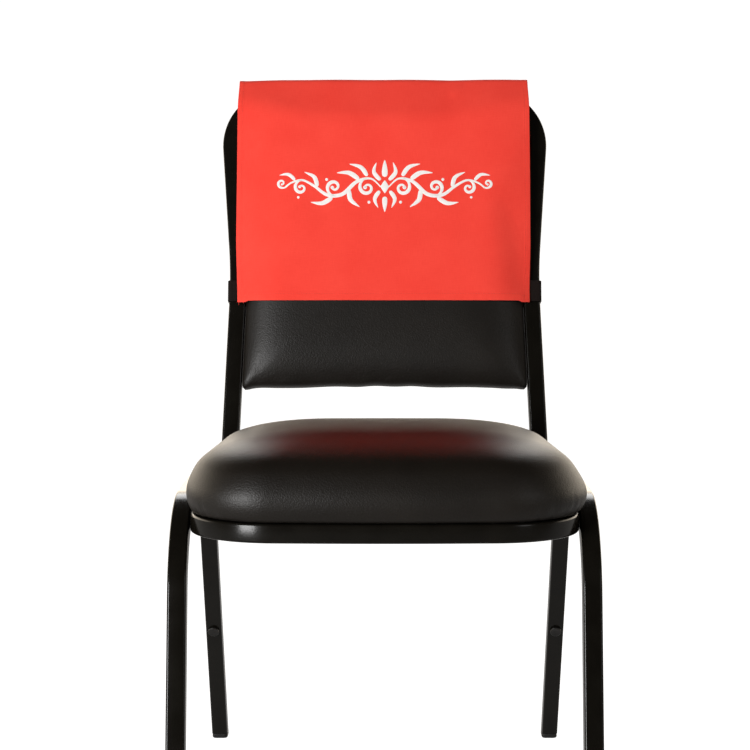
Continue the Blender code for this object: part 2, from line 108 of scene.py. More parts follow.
# Seat cushion
SEAT_BASE_Z = SEAT_TUBE_Z + TUBE / 2 + GAP
SEAT_CROWN_Z = 0.4500
SEAT_HALF_WIDTH = 0.2097
SEAT_REAR_HALF = 0.1900
SEAT_FRONT_Y = -0.2985
SEAT_REAR_Y = 0.0560
SEAT_FRONT_BOW = 0.010
SEAT_REAR_BOW = 0.004
SEAT_BOW_RADIUS = 1.6
SEAT_FRONT_RADIUS = 0.092
SEAT_REAR_RADIUS = 0.070
SEAT_MIDDLE_Y = -0.1150
SEAT_FULLER = 0.0040
SEAT_FULLER_RISE = 0.0180
SEAT_FULLER_REACH = 0.0360
SEAT_FULLER_X = (0.150, 0.210)
# Share of the outline, share of the height
SEAT_LEVELS = [
    (0.000, 1.035), (0.250, 1.030), (0.480, 1.006), (0.670, 0.948), (0.810, 0.864), (0.900, 0.770),
    (0.955, 0.660), (0.990, 0.520), (1.013, 0.370), (1.018, 0.270), (1.015, 0.180), (1.004, 0.095),
    (0.988, 0.030), (0.950, 0.000),
]

# Cover, in the back's plane
SIDE_HEM = 0.0066
BOTTOM_HEM = 0.0090
COVER_HALF = 0.1765
COVER_OFFSET = -0.0014
COVER_RIDGE_W = TOP_W + TUBE / 2 + 0.0020
HEM_LIFT = 0.0024
COVER_BOTTOM_W = 0.2180 + HEM_LIFT
COVER_PULL_RISE = 0.0022
COVER_TAB_DROP = 0.0017
COVER_TAB_WIDTH = 0.0120
COVER_TAB_EASE = 0.0024
COVER_RIDGE_NARROWER = 0.0009
RIDGE_NARROW_START_W = 0.4550
COVER_BOTTOM_NARROWER = 0.0020
BOTTOM_NARROW_START_W = 0.3000
COVER_FRONT_N = PAD_CROWN + 0.0005
COVER_RIDGE_FRONT_N = 0.0110
COVER_RIDGE_BACK_N = -0.0130
COVER_EDGE_N = 0.0145
COVER_PULL_START = 0.1220
COVER_CREASE_W = 0.4436
COVER_CREASE_RISE = 0.0180
CREASE_RISE_START = 0.35
COVER_CREASE_DROP = 0.0040
BACK_FOLD_RADIUS = 0.006
RIDGE_FOLD_RADIUS = 0.008
CREASE_RADIUS = 0.060
BACK_BELLY = 0.0030
BACK_STEPS = 40
FOLD_STEPS = 16
CREASE_STEPS = 24
VALLEY_TOP = (0.150, 0.345)
VALLEY_BOTTOM = (0.165, 0.218)
VALLEY_WIDTH = 0.018
VALLEY_DEPTH = 0.0031
VALLEY_FADE = 0.25
RIDGE_DIP_X = 0.080
RIDGE_DIP_WIDTH = 0.012
RIDGE_DIP_DEPTH = 0.0003
RIDGE_RISE = 0.0018
RIDGE_LOW_START = 0.1200

# Elastic straps
STRAP_WIDTH = 0.0254
STRAP_THICK = 0.0013
STRAP_END_X = 0.1668
STRAP_END_RISE = 0.0014
STRAP_RAISE = 0.0019
STRAP_CORNER = 0.0035
STRAP_SIDE_GAP = 0.0006

# Photograph's frame, in pixels, and its camera
SENSOR = 36.0
PHOTO_SIDE = 750
CAMERA_FOCAL = 2000
CAMERA_PLACE = (0.0, -2.2885, 0.671)
CAMERA_DOWN = math.radians(4.35)
CAMERA_SHIFT = 9.7


def smooth(value, start=0.0, end=1.0):
    """Ease from 0 to 1 as the value goes from start to end."""
    share = np.clip((value - start) / (end - start), 0.0, 1.0)
    return share * share * (3.0 - 2.0 * share)


def unit(vectors):
    return vectors / np.linalg.norm(vectors, axis=-1, keepdims=True)


def circle(angles):
    """Points of the unit circle."""
    return np.stack([np.cos(angles), np.sin(angles)], -1)


def bell(value, width):
    """A hump of height 1 round 0."""
    return np.exp(-(value / width) ** 2)


def add_object(name, data):
    holder = bpy.data.objects.new(name, data)
    bpy.context.scene.collection.objects.link(holder)
    return holder


def make_camera():
    camera = bpy.data.cameras.new("camera")
    camera.sensor_width = SENSOR
    camera.lens = SENSOR * CAMERA_FOCAL / PHOTO_SIDE
    camera.shift_x = -CAMERA_SHIFT / PHOTO_SIDE
    holder = add_object("camera", camera)
    holder.location = CAMERA_PLACE
    holder.rotation_euler = (math.pi / 2 - CAMERA_DOWN, 0.0, 0.0)
    bpy.context.scene.camera = holder


# Node helpers

class Tree:
    """The node tree of a material or world, with short calls to add and join nodes."""

    def __init__(self, owner):
        owner.use_nodes = True
        self.tree = owner.node_tree

    def put(self, value, node, socket):
        """Set a socket to a value, or join it to the output that is given as its value."""
        if isinstance(value, bpy.types.NodeSocket):
            self.tree.links.new(value, node.inputs[socket])
        else:
            node.inputs[socket].default_value = value

    def add(self, kind, values=(), **settings):
        node = self.tree.nodes.new(kind)
        for key, value in settings.items():
            setattr(node, key, value)
        for socket, value in dict(values).items():
            self.put(value, node, socket)
        return node

    def math(self, operation, first, second=0.0):
        return self.add("ShaderNodeMath", {0: first, 1: second}, operation=operation).outputs[0]

    def weighted(self, first, first_share, second, second_share):
        """The sum of two outputs, each times its share."""
        pairs = ((first, first_share), (second, second_share))
        return self.math("ADD", *[self.math("MULTIPLY", *pair) for pair in pairs])

    def mix(self, share, first, second, kind="FLOAT"):
        node = self.add("ShaderNodeMix", {"Factor": share, "A": first, "B": second}, data_type=kind)
        return node.outputs["Result"]

    def span(self, value, low, high, start, end, kind="SMOOTHSTEP"):
        """Run from start to end as the value goes from low to high."""
        sockets = {"Value": value, "From Min": low, "From Max": high, "To Min": start, "To Max": end}
        return self.add("ShaderNodeMapRange", sockets, interpolation_type=kind).outputs["Result"]

    def split(self, place):
        return self.add("ShaderNodeSeparateXYZ", {"Vector": place}).outputs


class Material(Tree):
    """A new material, with its shader and the textures that feed it."""

    def __init__(self, name, colour, roughness, specular):
        self.material = bpy.data.materials.new(name)
        super().__init__(self.material)
        self.shader = self.tree.nodes["Principled BSDF"]
        self.put((*colour, 1.0), self.shader, "Base Color")
        self.put(roughness, self.shader, "Roughness")
        self.put(specular, self.shader, "Specular IOR Level")

    def place(self, uv_map=None):
        if uv_map:
            return self.add("ShaderNodeUVMap", uv_map=uv_map).outputs["UV"]
        return self.add("ShaderNodeTexCoord").outputs["Object"]

    def noise(self, place, scale, detail=2.0, stretch=None):
        if stretch:
            place = self.add("ShaderNodeMapping", {"Vector": place, "Scale": stretch}).outputs["Vector"]
        node = self.add("ShaderNodeTexNoise", {"Vector": place, "Scale": scale, "Detail": detail})
        return node.outputs["Fac"]

    def bands(self, place, scale, distortion, direction):
        sockets = {"Vector": place, "Scale": scale, "Distortion": distortion}
        return self.add("ShaderNodeTexWave", sockets, bands_direction=direction).outputs["Fac"]

    def weave(self, place):
        """The height of a plain weave: threads across and along, each over the next in turn."""
        split = self.split(place)
        turns = [self.math("MULTIPLY", split[axis], math.pi / WEAVE_PITCH) for axis in "XY"]
        warp, weft = [self.math("ABSOLUTE", self.math("SINE", turn)) for turn in turns]
        over = self.math("MULTIPLY", *[self.math("COSINE", turn) for turn in turns])
        return self.weighted(self.weighted(warp, 0.5, weft, 0.5), 1.0, over, 0.35)

    def colour_between(self, share, colours, start=0.3, end=0.7):
        """Base colour that runs from the first to the second as share goes from start to end."""
        ramp = self.add("ShaderNodeValToRGB", {"Fac": share})
        for stop, position, colour in zip(ramp.color_ramp.elements, (start, end), colours):
            stop.position = position
            stop.color = (*colour, 1.0)
        self.put(ramp.outputs["Color"], self.shader, "Base Color")

    def roughness_between(self, share, low, high):
        self.put(self.span(share, 0.0, 1.0, low, high, "LINEAR"), self.shader, "Roughness")

    def bump(self, height, distance):
        node = self.add("ShaderNodeBump", {"Height": height, "Distance": distance})
        self.put(node.outputs["Normal"], self.shader, "Normal")


# Materials: each colour, and the two that its mottling runs between; for the thread, the two are its painted
# ply shade and painted highlight

CLOTH_UV = "cloth"
WEAVE_PITCH = 0.00055
RED = (0.965, 0.057, 0.037)
RED_SPAN = ((0.925, 0.048, 0.031), (0.990, 0.068, 0.0445))
# Thread colour from the painted shade in the grooves between its plies to the painted highlight on their
# crowns
RED_THREAD_PAINTED_SHADE_SPAN = ((0.62, 0.040, 0.028), (0.93, 0.085, 0.060))
INK = (0.94, 0.92, 0.91)
INK_SPAN = ((0.91, 0.88, 0.87), (0.97, 0.955, 0.95))
ELASTIC = (0.008, 0.0048, 0.004)
ELASTIC_SPAN = ((0.005, 0.0028, 0.0023), (0.013, 0.0078, 0.0066))
VINYL = (0.0065, 0.0047, 0.0032)
VINYL_SPAN = ((0.0053, 0.0038, 0.0026), (0.0077, 0.0056, 0.0038))
ENAMEL = (0.0042, 0.0036, 0.0026)
ENAMEL_SPAN = ((0.0034, 0.0029, 0.0021), (0.0052, 0.0045, 0.0033))
PLASTIC = (0.006, 0.0055, 0.005)
PLASTIC_SPAN = ((0.004, 0.0037, 0.0033), (0.011, 0.010, 0.009))
WHITE = (1.0, 1.0, 1.0, 1.0)


def red_cloth():
    """Matt woven polyester, with uneven threads and faint mottling."""
    nodes = Material("red_polyester", RED, roughness=0.80, specular=0.25)
    nodes.put(0.06, nodes.shader, "Sheen Weight")
    nodes.put(0.5, nodes.shader, "Sheen Roughness")
    place = nodes.place(CLOTH_UV)
    slubs_across = nodes.noise(place, 1.0, stretch=(90.0, 1300.0, 1.0))
    slubs_along = nodes.noise(place, 1.0, stretch=(1300.0, 90.0, 1.0))
    slubs = nodes.weighted(slubs_across, 0.5, slubs_along, 0.5)
    mottle = nodes.noise(place, 22.0, detail=3.0)
    nodes.colour_between(nodes.weighted(slubs, 0.6, mottle, 0.4), RED_SPAN, 0.35, 0.65)
    nodes.bump(nodes.weighted(nodes.weave(place), 0.6, slubs, 0.9), 0.00010)
    return nodes.material


def white_print():
    """Opaque ink that fills the weave but keeps its grain."""
    nodes = Material("white_ink", INK, roughness=0.55, specular=0.4)
    place = nodes.place(CLOTH_UV)
    nodes.colour_between(nodes.noise(place, 400.0), INK_SPAN)
    nodes.bump(nodes.weave(place), 0.00005)
    return nodes.material


def red_thread():
    """Twisted thread: fine slanting plies, a little glossier than the cloth, painted darker in the grooves
    between them (painted shade) and lighter on their crowns (painted highlight).
    """
    nodes = Material("red_thread", RED_THREAD_PAINTED_SHADE_SPAN[1], roughness=0.62, specular=0.35)
    plies = nodes.bands(nodes.place(), 900.0, 1.5, "DIAGONAL")
    # The ply bands also set the colour: painted shade in the grooves, painted highlight on the crowns
    nodes.colour_between(plies, RED_THREAD_PAINTED_SHADE_SPAN, 0.2, 0.8)
    nodes.bump(plies, 0.00005)
    return nodes.material


def black_elastic():
    """Knitted elastic: fine crosswise picks between the modelled ribs."""
    nodes = Material("black_elastic", ELASTIC, roughness=0.82, specular=0.13)
    nodes.put(0.03, nodes.shader, "Sheen Weight")
    place = nodes.place(CLOTH_UV)
    picks = nodes.bands(place, 190.0, 0.6, "Y")
    fuzz = nodes.noise(place, 900.0, detail=3.0)
    nodes.colour_between(fuzz, ELASTIC_SPAN)
    nodes.bump(nodes.weighted(picks, 1.0, fuzz, 0.6), 0.00012)
    return nodes.material


def black_vinyl():
    """Coated fabric with a fine pebbled grain."""
    nodes = Material("black_vinyl", VINYL, roughness=0.45, specular=0.33)
    place = nodes.place()
    warp = nodes.noise(place, 260.0)
    pebbles = nodes.add("ShaderNodeTexVoronoi", {"Vector": place, "Scale": 620.0}).outputs["Distance"]
    mottle = nodes.noise(place, 14.0, detail=3.0)
    nodes.colour_between(mottle, VINYL_SPAN)
    nodes.roughness_between(nodes.weighted(mottle, 0.6, warp, 0.4), 0.39, 0.51)
    nodes.bump(nodes.weighted(pebbles, 1.0, warp, 0.5), 0.00016)
    return nodes.material


def black_enamel():
    """Baked enamel on steel: glossy, with faint orange peel and a few duller places."""
    nodes = Material("black_enamel", ENAMEL, roughness=0.20, specular=0.24)
    place = nodes.place()
    wear = nodes.noise(place, 35.0, detail=4.0)
    nodes.colour_between(wear, ENAMEL_SPAN)
    nodes.roughness_between(wear, 0.13, 0.25)
    nodes.bump(nodes.noise(place, 420.0, detail=1.0), 0.00003)
    return nodes.material


def black_plastic(name, roughness):
    """Moulded plastic with a fine spark-eroded grain."""
    nodes = Material(name, PLASTIC, roughness, specular=0.4)
    place = nodes.place()
    scuffs = nodes.noise(place, 120.0, detail=4.0)
    nodes.colour_between(scuffs, PLASTIC_SPAN)
    nodes.roughness_between(scuffs, roughness - 0.08, roughness + 0.12)
    nodes.bump(nodes.noise(place, 1800.0), 0.00003)
    return nodes.material


# Mesh helpers

def face_outwards(mesh, weld):
    """Turn a closed mesh's faces to point out, and merge its points that are nearer than weld."""
    bm = bmesh.new()
    bm.from_mesh(mesh)
    if weld:
        bmesh.ops.remove_doubles(bm, verts=bm.verts, dist=weld)
    bmesh.ops.recalc_face_normals(bm, faces=bm.faces)
    bm.to_mesh(mesh)
    bm.free()
    mesh.update()


def add_piece(name, points, faces, material, added=False, uv=None, sharp_angle=None, weld=0.0):
    """A named mesh on the body, in place of the solid in its name unless it is added to one.

    points without faces are the rings of a tube, and uv has a (u, v) for each point.
    """
    points = np.array(points)
    mesh = bpy.data.meshes.new(name)
    mesh.from_pydata(points.reshape(-1, 3).tolist(), [], faces or tube_faces(*points.shape[:2]))
    if uv is not None:
        corners = np.zeros(len(mesh.loops), np.int32)
        mesh.loops.foreach_get("vertex_index", corners)
        layer = mesh.uv_layers.new(name=CLOTH_UV)
        layer.uv.foreach_set("vector", np.asarray(uv, np.float32).reshape(-1, 2)[corners].ravel())
    mesh.update()
    mesh.shade_smooth()
    if sharp_angle:
        mesh.set_sharp_from_angle(angle=math.radians(sharp_angle))
    mesh.materials.append(material)
    face_outwards(mesh, weld)
    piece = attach(add_object(name, mesh), "root")
    if not added:
        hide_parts(name.split(".")[0])
    return piece


def grid_faces(rows, columns, first=0, flip=False, closed=False):
    """Quads of a grid of points numbered row by row; closed joins the last column to the first."""
    faces = []
    for row in range(rows - 1):
        for column in range(columns if closed else columns - 1):
            a = first + row * columns + column
            b = first + row * columns + (column + 1) % columns
            face = (a, b, b + columns, a + columns)
            faces.append(face[::-1] if flip else face)
    return faces


def tube_faces(rings, around, first=0):
    """Quads of a closed tube whose points are numbered ring by ring, and a cap at each end."""
    last = first + (rings - 1) * around
    caps = [tuple(range(first + around - 1, first - 1, -1)), tuple(range(last, last + around))]
    return grid_faces(rings, around, first=first, closed=True) + caps


def sheet_point(x, w, n):
    """Points of the frame sheet at widths x and runs w, at n in front of the back or above the seat ring."""
    x, w, n = np.broadcast_arrays(np.asarray(x, float), w, n)
    facing = np.clip(RECLINE + (BEND_TOP_W - w) / HEEL_BEND, RECLINE, math.pi / 2)
    above = np.maximum(w - BEND_TOP_W, 0.0)
    below = np.maximum(BEND_END_W - w, 0.0)
    y = BEND_END_Y + HEEL_BEND * np.cos(facing) + above * math.sin(RECLINE) - below
    z = SEAT_TUBE_Z + HEEL_BEND * (1.0 - np.sin(facing)) + above * math.cos(RECLINE)
    return np.stack([x, y - n * np.cos(facing), z + n * np.sin(facing)], -1)


def ring_run(y):
    """The sheet's run at a place y along the level seat ring."""
    return BEND_END_W - (BEND_END_Y - y)


def fillet(before, corner, after, radius, steps):
    """Points of the arc that rounds a 2-D corner."""
    before, corner, after = Vector(before), Vector(corner), Vector(after)
    arriving = (corner - before).normalized()
    leaving = (after - corner).normalized()
    turn = arriving.angle_signed(leaving)
    if abs(turn) < 1e-6 or radius == 0.0:
        return [corner.copy()]
    reach = radius * math.tan(abs(turn) / 2)
    start = corner - arriving * reach
    inward = Vector((arriving.y, -arriving.x)) * math.copysign(1.0, turn)
    centre = start + inward * radius
    spoke = start - centre
    arc = []
    for index in range(steps + 1):
        angle = -turn * index / steps
        arc.append(centre + Vector((spoke.x * math.cos(angle) - spoke.y * math.sin(angle),
                                    spoke.x * math.sin(angle) + spoke.y * math.cos(angle))))
    return arc


def rounded_loop(corners, steps=24):
    """A closed 2-D outline from corners given as (x, y, radius)."""
    loop = []
    for index, (x, y, radius) in enumerate(corners):
        after = corners[(index + 1) % len(corners)][:2]
        loop += fillet(corners[index - 1][:2], (x, y), after, radius, steps)
    return loop


def bent_line(corners, radius, steps):
    """An open 2-D line with its inner corners rounded."""
    line = [Vector(corners[0])]
    for before, corner, after in zip(corners, corners[1:], corners[2:]):
        line += fillet(before, corner, after, radius, steps)
    return line + [Vector(corners[-1])]


def mirrored(right_half):
    """Corners of a symmetric closed outline, from those at x >= 0, listed from front or bottom to top."""
    left_half = [(-x, y, radius) for x, y, radius in reversed(right_half) if x > 0.0]
    return right_half + left_half


def inset_corners(corners, inset):
    """Corners of a counter-clockwise closed outline moved inwards, with their radii to match."""
    moved = []
    for index, (x, y, radius) in enumerate(corners):
        corner = Vector((x, y))
        arriving = (corner - Vector(corners[index - 1][:2])).normalized()
        leaving = (Vector(corners[(index + 1) % len(corners)][:2]) - corner).normalized()
        inward = Vector((-arriving.y - leaving.y, arriving.x + leaving.x)) / (1.0 + arriving.dot(leaving))
        place = corner + inward * inset
        convex = arriving.cross(leaving) > 0.0
        moved.append((place.x, place.y, radius - inset if convex else radius + inset))
    return moved


def even_path(points, spacing, closed=False):
    """Points a fixed spacing apart along a polyline of any dimension, and their places along it."""
    points = np.array([tuple(point) for point in points])
    if closed:
        points = np.vstack([points, points[:1]])
    keep = np.concatenate([[True], np.linalg.norm(np.diff(points, axis=0), axis=1) > 1e-7])
    points = points[keep]
    run = run_along(points)
    places = np.linspace(0.0, run[-1], max(2, round(run[-1] / spacing)) + 1)
    if closed:
        places = places[:-1]
    return np.stack([np.interp(places, run, axis) for axis in points.T], -1), places


def run_along(points):
    """Each point's distance along a polyline."""
    return np.concatenate([[0.0], np.cumsum(np.linalg.norm(np.diff(points, axis=0), axis=1))])


def cubic_chain(points, steps, slopes):
    """A smooth curve through points; slopes gives the two of a piece, from the four points nearest to it."""
    t = (np.arange(steps) / steps)[:, None]
    pieces = []
    for index in range(len(points) - 1):
        p1, p2 = points[index], points[index + 1]
        m1, m2 = slopes(points[max(0, index - 1)], p1, p2, points[min(len(points) - 1, index + 2)])
        pieces.append((2 * t**3 - 3 * t**2 + 1) * p1 + (t**3 - 2 * t**2 + t) * m1
                      + (3 * t**2 - 2 * t**3) * p2 + (t**3 - t**2) * m2)
    return np.vstack([*pieces, points[-1:]])


def even_slopes(p0, p1, p2, p3):
    return (p2 - p0) / 2, (p3 - p1) / 2


def uneven_slopes(p0, p1, p2, p3):
    """Slopes that don't overshoot where the points are unevenly spaced."""
    a, b, c = np.sqrt(np.linalg.norm([p1 - p0, p2 - p1, p3 - p2], axis=1))
    chord = (p2 - p1) / b
    arriving = (p1 - p0) / a - (p2 - p0) / (a + b) + chord if a else chord
    leaving = chord - (p3 - p1) / (b + c) + (p3 - p2) / c if c else chord
    return arriving * b, leaving * b


def frame_corners():
    """The right half of the tube's middle line, from the ring's front to the top of the arch."""
    return [
        (0.0, ring_run(RING_FRONT_Y), RING_FRONT_RADIUS),
        (RING_CORNER_X, ring_run(RING_CORNER_Y), RING_CORNER_RADIUS),
        (HEEL_X, BEND_TOP_W, HEEL_RADIUS),
        (WAIST_X, WAIST_W, WAIST_RADIUS),
        (SHOULDER_X, TOP_W - ARCH_DROP, SHOULDER_RADIUS),
        (0.0, TOP_W, ARCH_RADIUS),
    ]


def frame_loop():
    """The tube's middle line, all the way round."""
    return rounded_loop(mirrored(frame_corners()), BEND_STEPS)


# Steel tube

TUBE_CORNER_STEPS = 6
TUBE_SPACING = 0.0045
TUBE_SHARP_ANGLE = 60.0
BEND_STEPS = 60


def square_profile():
    """A square with rounded corners, as (across, out) offsets."""
    shares = np.arange(TUBE_CORNER_STEPS + 1) / TUBE_CORNER_STEPS
    middle = TUBE / 2 - TUBE_CORNER
    corners = [(middle, middle), (-middle, middle), (-middle, -middle), (middle, -middle)]
    return np.concatenate([np.array(corner) + TUBE_CORNER * circle((quarter + shares) * math.pi / 2)
                           for quarter, corner in enumerate(corners)])


def path_sides(path, closed):
    """At each point of a 2-D path, the offset that moves one unit to its right, longer at bends."""
    before = np.roll(path, 1, axis=0)
    after = np.roll(path, -1, axis=0)
    if not closed:
        before[0] = 2 * path[0] - path[1]
        after[-1] = 2 * path[-1] - path[-2]
    arriving = unit(path - before)
    leaving = unit(after - path)
    along = unit(arriving + leaving)
    side = np.stack([along[:, 1], -along[:, 0]], -1)
    return side / (along * leaving).sum(1)[:, None]


def make_back_and_seat_tube(material):
    path, _ = even_path(frame_loop(), TUBE_SPACING, closed=True)
    profile = square_profile()
    places = path[:, None, :] + profile[None, :, :1] * path_sides(path, closed=True)[:, None, :]
    points = sheet_point(places[..., 0], places[..., 1], profile[None, :, 1])
    rings, around = points.shape[:2]
    faces = grid_faces(rings, around, closed=True) + ring_faces(0, (rings - 1) * around, around)
    add_piece("back_and_seat_tube.enamel", points, faces, material)


def make_leg_frame(word, side, material):
    """One bent tube from the front foot over the rail to the rear foot, with capped ends."""
    end_z = FOOT_HEIGHT + GAP
    corners = [(-FOOT_Y + z * math.tan(FRONT_LEG_LEAN), z) for z in (end_z, RAIL_Z)]
    corners += [(FOOT_Y - z * math.tan(REAR_LEG_LEAN), z) for z in (RAIL_Z, end_z)]
    path, _ = even_path(bent_line(corners, LEG_BEND, BEND_STEPS), TUBE_SPACING)
    across = -path_sides(path, closed=False)
    across[0] = (-1.0 / math.cos(FRONT_LEG_LEAN), 0.0)
    across[-1] = (1.0 / math.cos(REAR_LEG_LEAN), 0.0)
    profile = square_profile()
    places = path[:, None, :] + profile[None, :, :1] * across[:, None, :]
    x = np.broadcast_to(side * LEG_X + profile[None, :, 1], places.shape[:2])
    points = np.stack([x, places[..., 0], places[..., 1]], -1)
    add_piece(f"leg_frame_{word}.enamel", points, None, material,
              sharp_angle=TUBE_SHARP_ANGLE)


# Feet and buttons

FOOT_CORNER = 0.0042
FOOT_ROUNDING = 0.0026
FOOT_TOP_ROUNDING = 0.45
FOOT_STEPS = 6
FOOT_GROOVE_Z = FOOT_HEIGHT * 0.62
FOOT_GROOVE = [(0.0, -0.0004), (0.0003, -0.0001), (0.0003, 0.0001), (0.0, 0.0004)]
BUTTON_AROUND = 40
BUTTON_TIP = 1e-5
# Share of the radius, share of the height: a flat disc with a rounded rim and a shallow dished face
BUTTON_LEVELS = [
    (0.0, 0.0), (0.96, 0.0), (1.0, 0.06), (1.0, 0.66), (0.985, 0.80), (0.94, 0.92), (0.87, 0.985),
    (0.78, 1.0), (0.70, 0.985), (0.62, 0.93), (0.45, 0.90), (0.22, 0.89), (0.0, 0.89),
]


def make_foot(word, side, y, material):
    """A moulded end cap: a rounded block with a fine parting groove round it."""
    half_size = np.array([FOOT_WIDTH, FOOT_LENGTH]) / 2
    corners = [(half_size[0], end * half_size[1], FOOT_CORNER) for end in (-1, 1)]
    outline = np.array([tuple(point) for point in rounded_loop(mirrored(corners), 8)])
    turns = np.arange(FOOT_STEPS + 1) / FOOT_STEPS * math.pi / 2
    rounding = FOOT_ROUNDING * (1.0 - circle(turns)[:, ::-1])
    top = rounding[::-1] * [FOOT_TOP_ROUNDING, -FOOT_TOP_ROUNDING] + [0.0, FOOT_HEIGHT]
    rings = []
    for inset, height in np.concatenate([rounding, np.add(FOOT_GROOVE, [0.0, FOOT_GROOVE_Z]), top]):
        ring = outline * (1.0 - inset / half_size) + [side * LEG_X, y]
        rings.append(np.column_stack([ring, np.full(len(ring), height)]))
    add_piece(f"{word}.cap", rings, None, material, sharp_angle=40.0)


def make_button(word, side, material):
    out = Vector((0.0, -math.cos(REAR_LEG_LEAN), -math.sin(REAR_LEG_LEAN)))
    start = Vector((side * LEG_X, FOOT_Y - BUTTON_Z * math.tan(REAR_LEG_LEAN), BUTTON_Z))
    start += out * (TUBE / 2 + GAP)
    turn = out.to_track_quat("Z", "Y")
    spokes = circle(np.arange(BUTTON_AROUND) * math.tau / BUTTON_AROUND)
    points = []
    for width, height in BUTTON_LEVELS:
        radius = max(BUTTON_RADIUS * width, BUTTON_TIP)
        points += [start + turn @ Vector((radius * x, radius * y, BUTTON_HEIGHT * height)) for x, y in spokes]
    faces = grid_faces(len(BUTTON_LEVELS), BUTTON_AROUND, closed=True)
    add_piece(f"button_{word}.disc", points, faces, material, weld=5 * BUTTON_TIP)


# Padded pieces: square grids wrapped on a rounded outline, so that no point is a pole

PAD_SPACING = 0.0036
LOOP_SPACING = 0.0002
RIM_SHARE = 0.90
UNDER_INSET = 0.012
RELAX_ROUNDS = 60
RELAX_RIM_N = 0.0085
RELAX_EASE = 0.006
PAD_RIM_N = 0.022
PAD_RIM_EASE = 0.012
PAD_LOW_EDGE = 0.012
PAD_LOW_EASE = 0.010
PAD_EDGE_WAVE = 0.00045
PAD_EDGE_RIPPLE = (0.0094, 1.5, 0.031)
PAD_FACE_WAVE = 0.00040
PAD_FACE_RIPPLE = (0.0061, 2.0, 0.0233)
PAD_CORNER_ZONE = 0.010


def pad_points(outline, middle, levels, reach):
    """Points, as (x, y, height), and faces of a padded form: a square grid on top, side rings and one below.

    levels are (share of the outline, height), and reach is the outline's size for a share of 1.
    """
    curve = cubic_chain(np.array(levels, float) * [reach, 1.0], 12, uneven_slopes)
    profile = even_path(curve, PAD_SPACING)[0] / [reach, 1.0]
    half = int(np.argmax(profile[:, 0] > RIM_SHARE))
    around = 8 * half
    ring = around_loop(even_path(outline, LOOP_SPACING, closed=True)[0], half)
    middle = np.array(middle)
    points, faces = [], []

    def add_square(levels_inwards):
        """Rings of 8, 16, 24 .. points round a middle one, from the middle out."""
        first_of = []
        for level, (share, height) in enumerate(levels_inwards):
            first_of.append(len(points))
            for step in range(max(1, 8 * level)):
                spot = loop_at(ring, step / (8 * level) * around) if level else middle
                points.append((*(middle + (spot - middle) * share), height))
        faces.extend(square_faces(half, lambda step, level: first_of[level] + step))
        return first_of[half]

    base = add_square(profile[:half + 1])
    for share, height in profile[half + 1:]:
        start = len(points)
        points.extend((*(middle + (spot - middle) * share), height) for spot in ring)
        faces.extend(ring_faces(base, start, around))
        base = start
    last_share, last_height = profile[-1]
    under = [(last_share * (1.0 - UNDER_INSET) * level / half, last_height) for level in range(half + 1)]
    faces.extend(ring_faces(base, add_square(under), around))
    return np.array(points), faces


def ring_faces(base, start, around):
    """Quads between two rings of as many points."""
    return [(base + step, start + step, start + (step + 1) % around, base + (step + 1) % around)
            for step in range(around)]


def loop_at(loop, place):
    """A point of a closed loop of points, at a place counted in points."""
    low = int(place)
    share = place - low
    return loop[low % len(loop)] * (1.0 - share) + loop[(low + 1) % len(loop)] * share


def around_loop(loop, half):
    """Points round a loop, 2 * half of them from each corner to the next, from the lower right one."""
    low, high = loop.min(0), loop.max(0)
    corners = [(high[0], low[1]), high, (low[0], high[1]), low]
    starts = [int(np.argmin(np.linalg.norm(loop - np.array(corner), axis=1))) for corner in corners]
    return np.array([loop_at(loop, start + (end - start) % len(loop) * step / (2 * half))
                     for start, end in zip(starts, starts[1:] + starts[:1]) for step in range(2 * half)])


def square_faces(half, number):
    """Quads of a square grid, its points numbered by ring and step; ring r's corners are at steps 0, 2r .."""
    def at(column, row):
        level = max(abs(column), abs(row))
        if level == 0:
            return number(0, 0)
        if column == level and row > -level:
            step = row + level
        elif row == level:
            step = 3 * level - column
        elif column == -level:
            step = 5 * level - row
        else:
            step = 7 * level + column
        return number(step % (8 * level), level)

    return [(at(column, row), at(column + 1, row), at(column + 1, row + 1), at(column, row + 1))
            for row in range(-half, half) for column in range(-half, half)]


def pad_outline():
    right = inset_corners(mirrored(frame_corners()), TUBE / 2 + PAD_GAP)[:len(frame_corners())]
    heel, waist, shoulder, top = right[2:]
    share = (waist[1] - PAD_BOTTOM_W) / (waist[1] - heel[1])
    bottom_x = waist[0] + (heel[0] - waist[0]) * share
    return rounded_loop(mirrored([
        (0.0, PAD_BOTTOM_W + PAD_BOTTOM_RISE, PAD_BOTTOM_BOW_RADIUS),
        (bottom_x, PAD_BOTTOM_W, PAD_BOTTOM_RADIUS),
        waist, shoulder, top,
    ]))


def relaxed(values, faces, share):
    """Values at the points of a mesh, drawn towards their neighbours' mean where the share allows."""
    pairs = np.array([(face[i - 1], face[i]) for face in faces for i in range(len(face))])
    count = np.maximum(1, np.bincount(pairs.ravel(), minlength=len(values)))
    for _ in range(RELAX_ROUNDS):
        total = (np.bincount(pairs[:, 0], values[pairs[:, 1]], len(values))
                 + np.bincount(pairs[:, 1], values[pairs[:, 0]], len(values)))
        values = values + 0.5 * share * (total / count - values)
    return values


def ripple(run, length, swing, swing_length):
    """A wave whose length swings along a run, from -1 to 1."""
    return np.sin(run / length + swing * np.sin(run / swing_length))


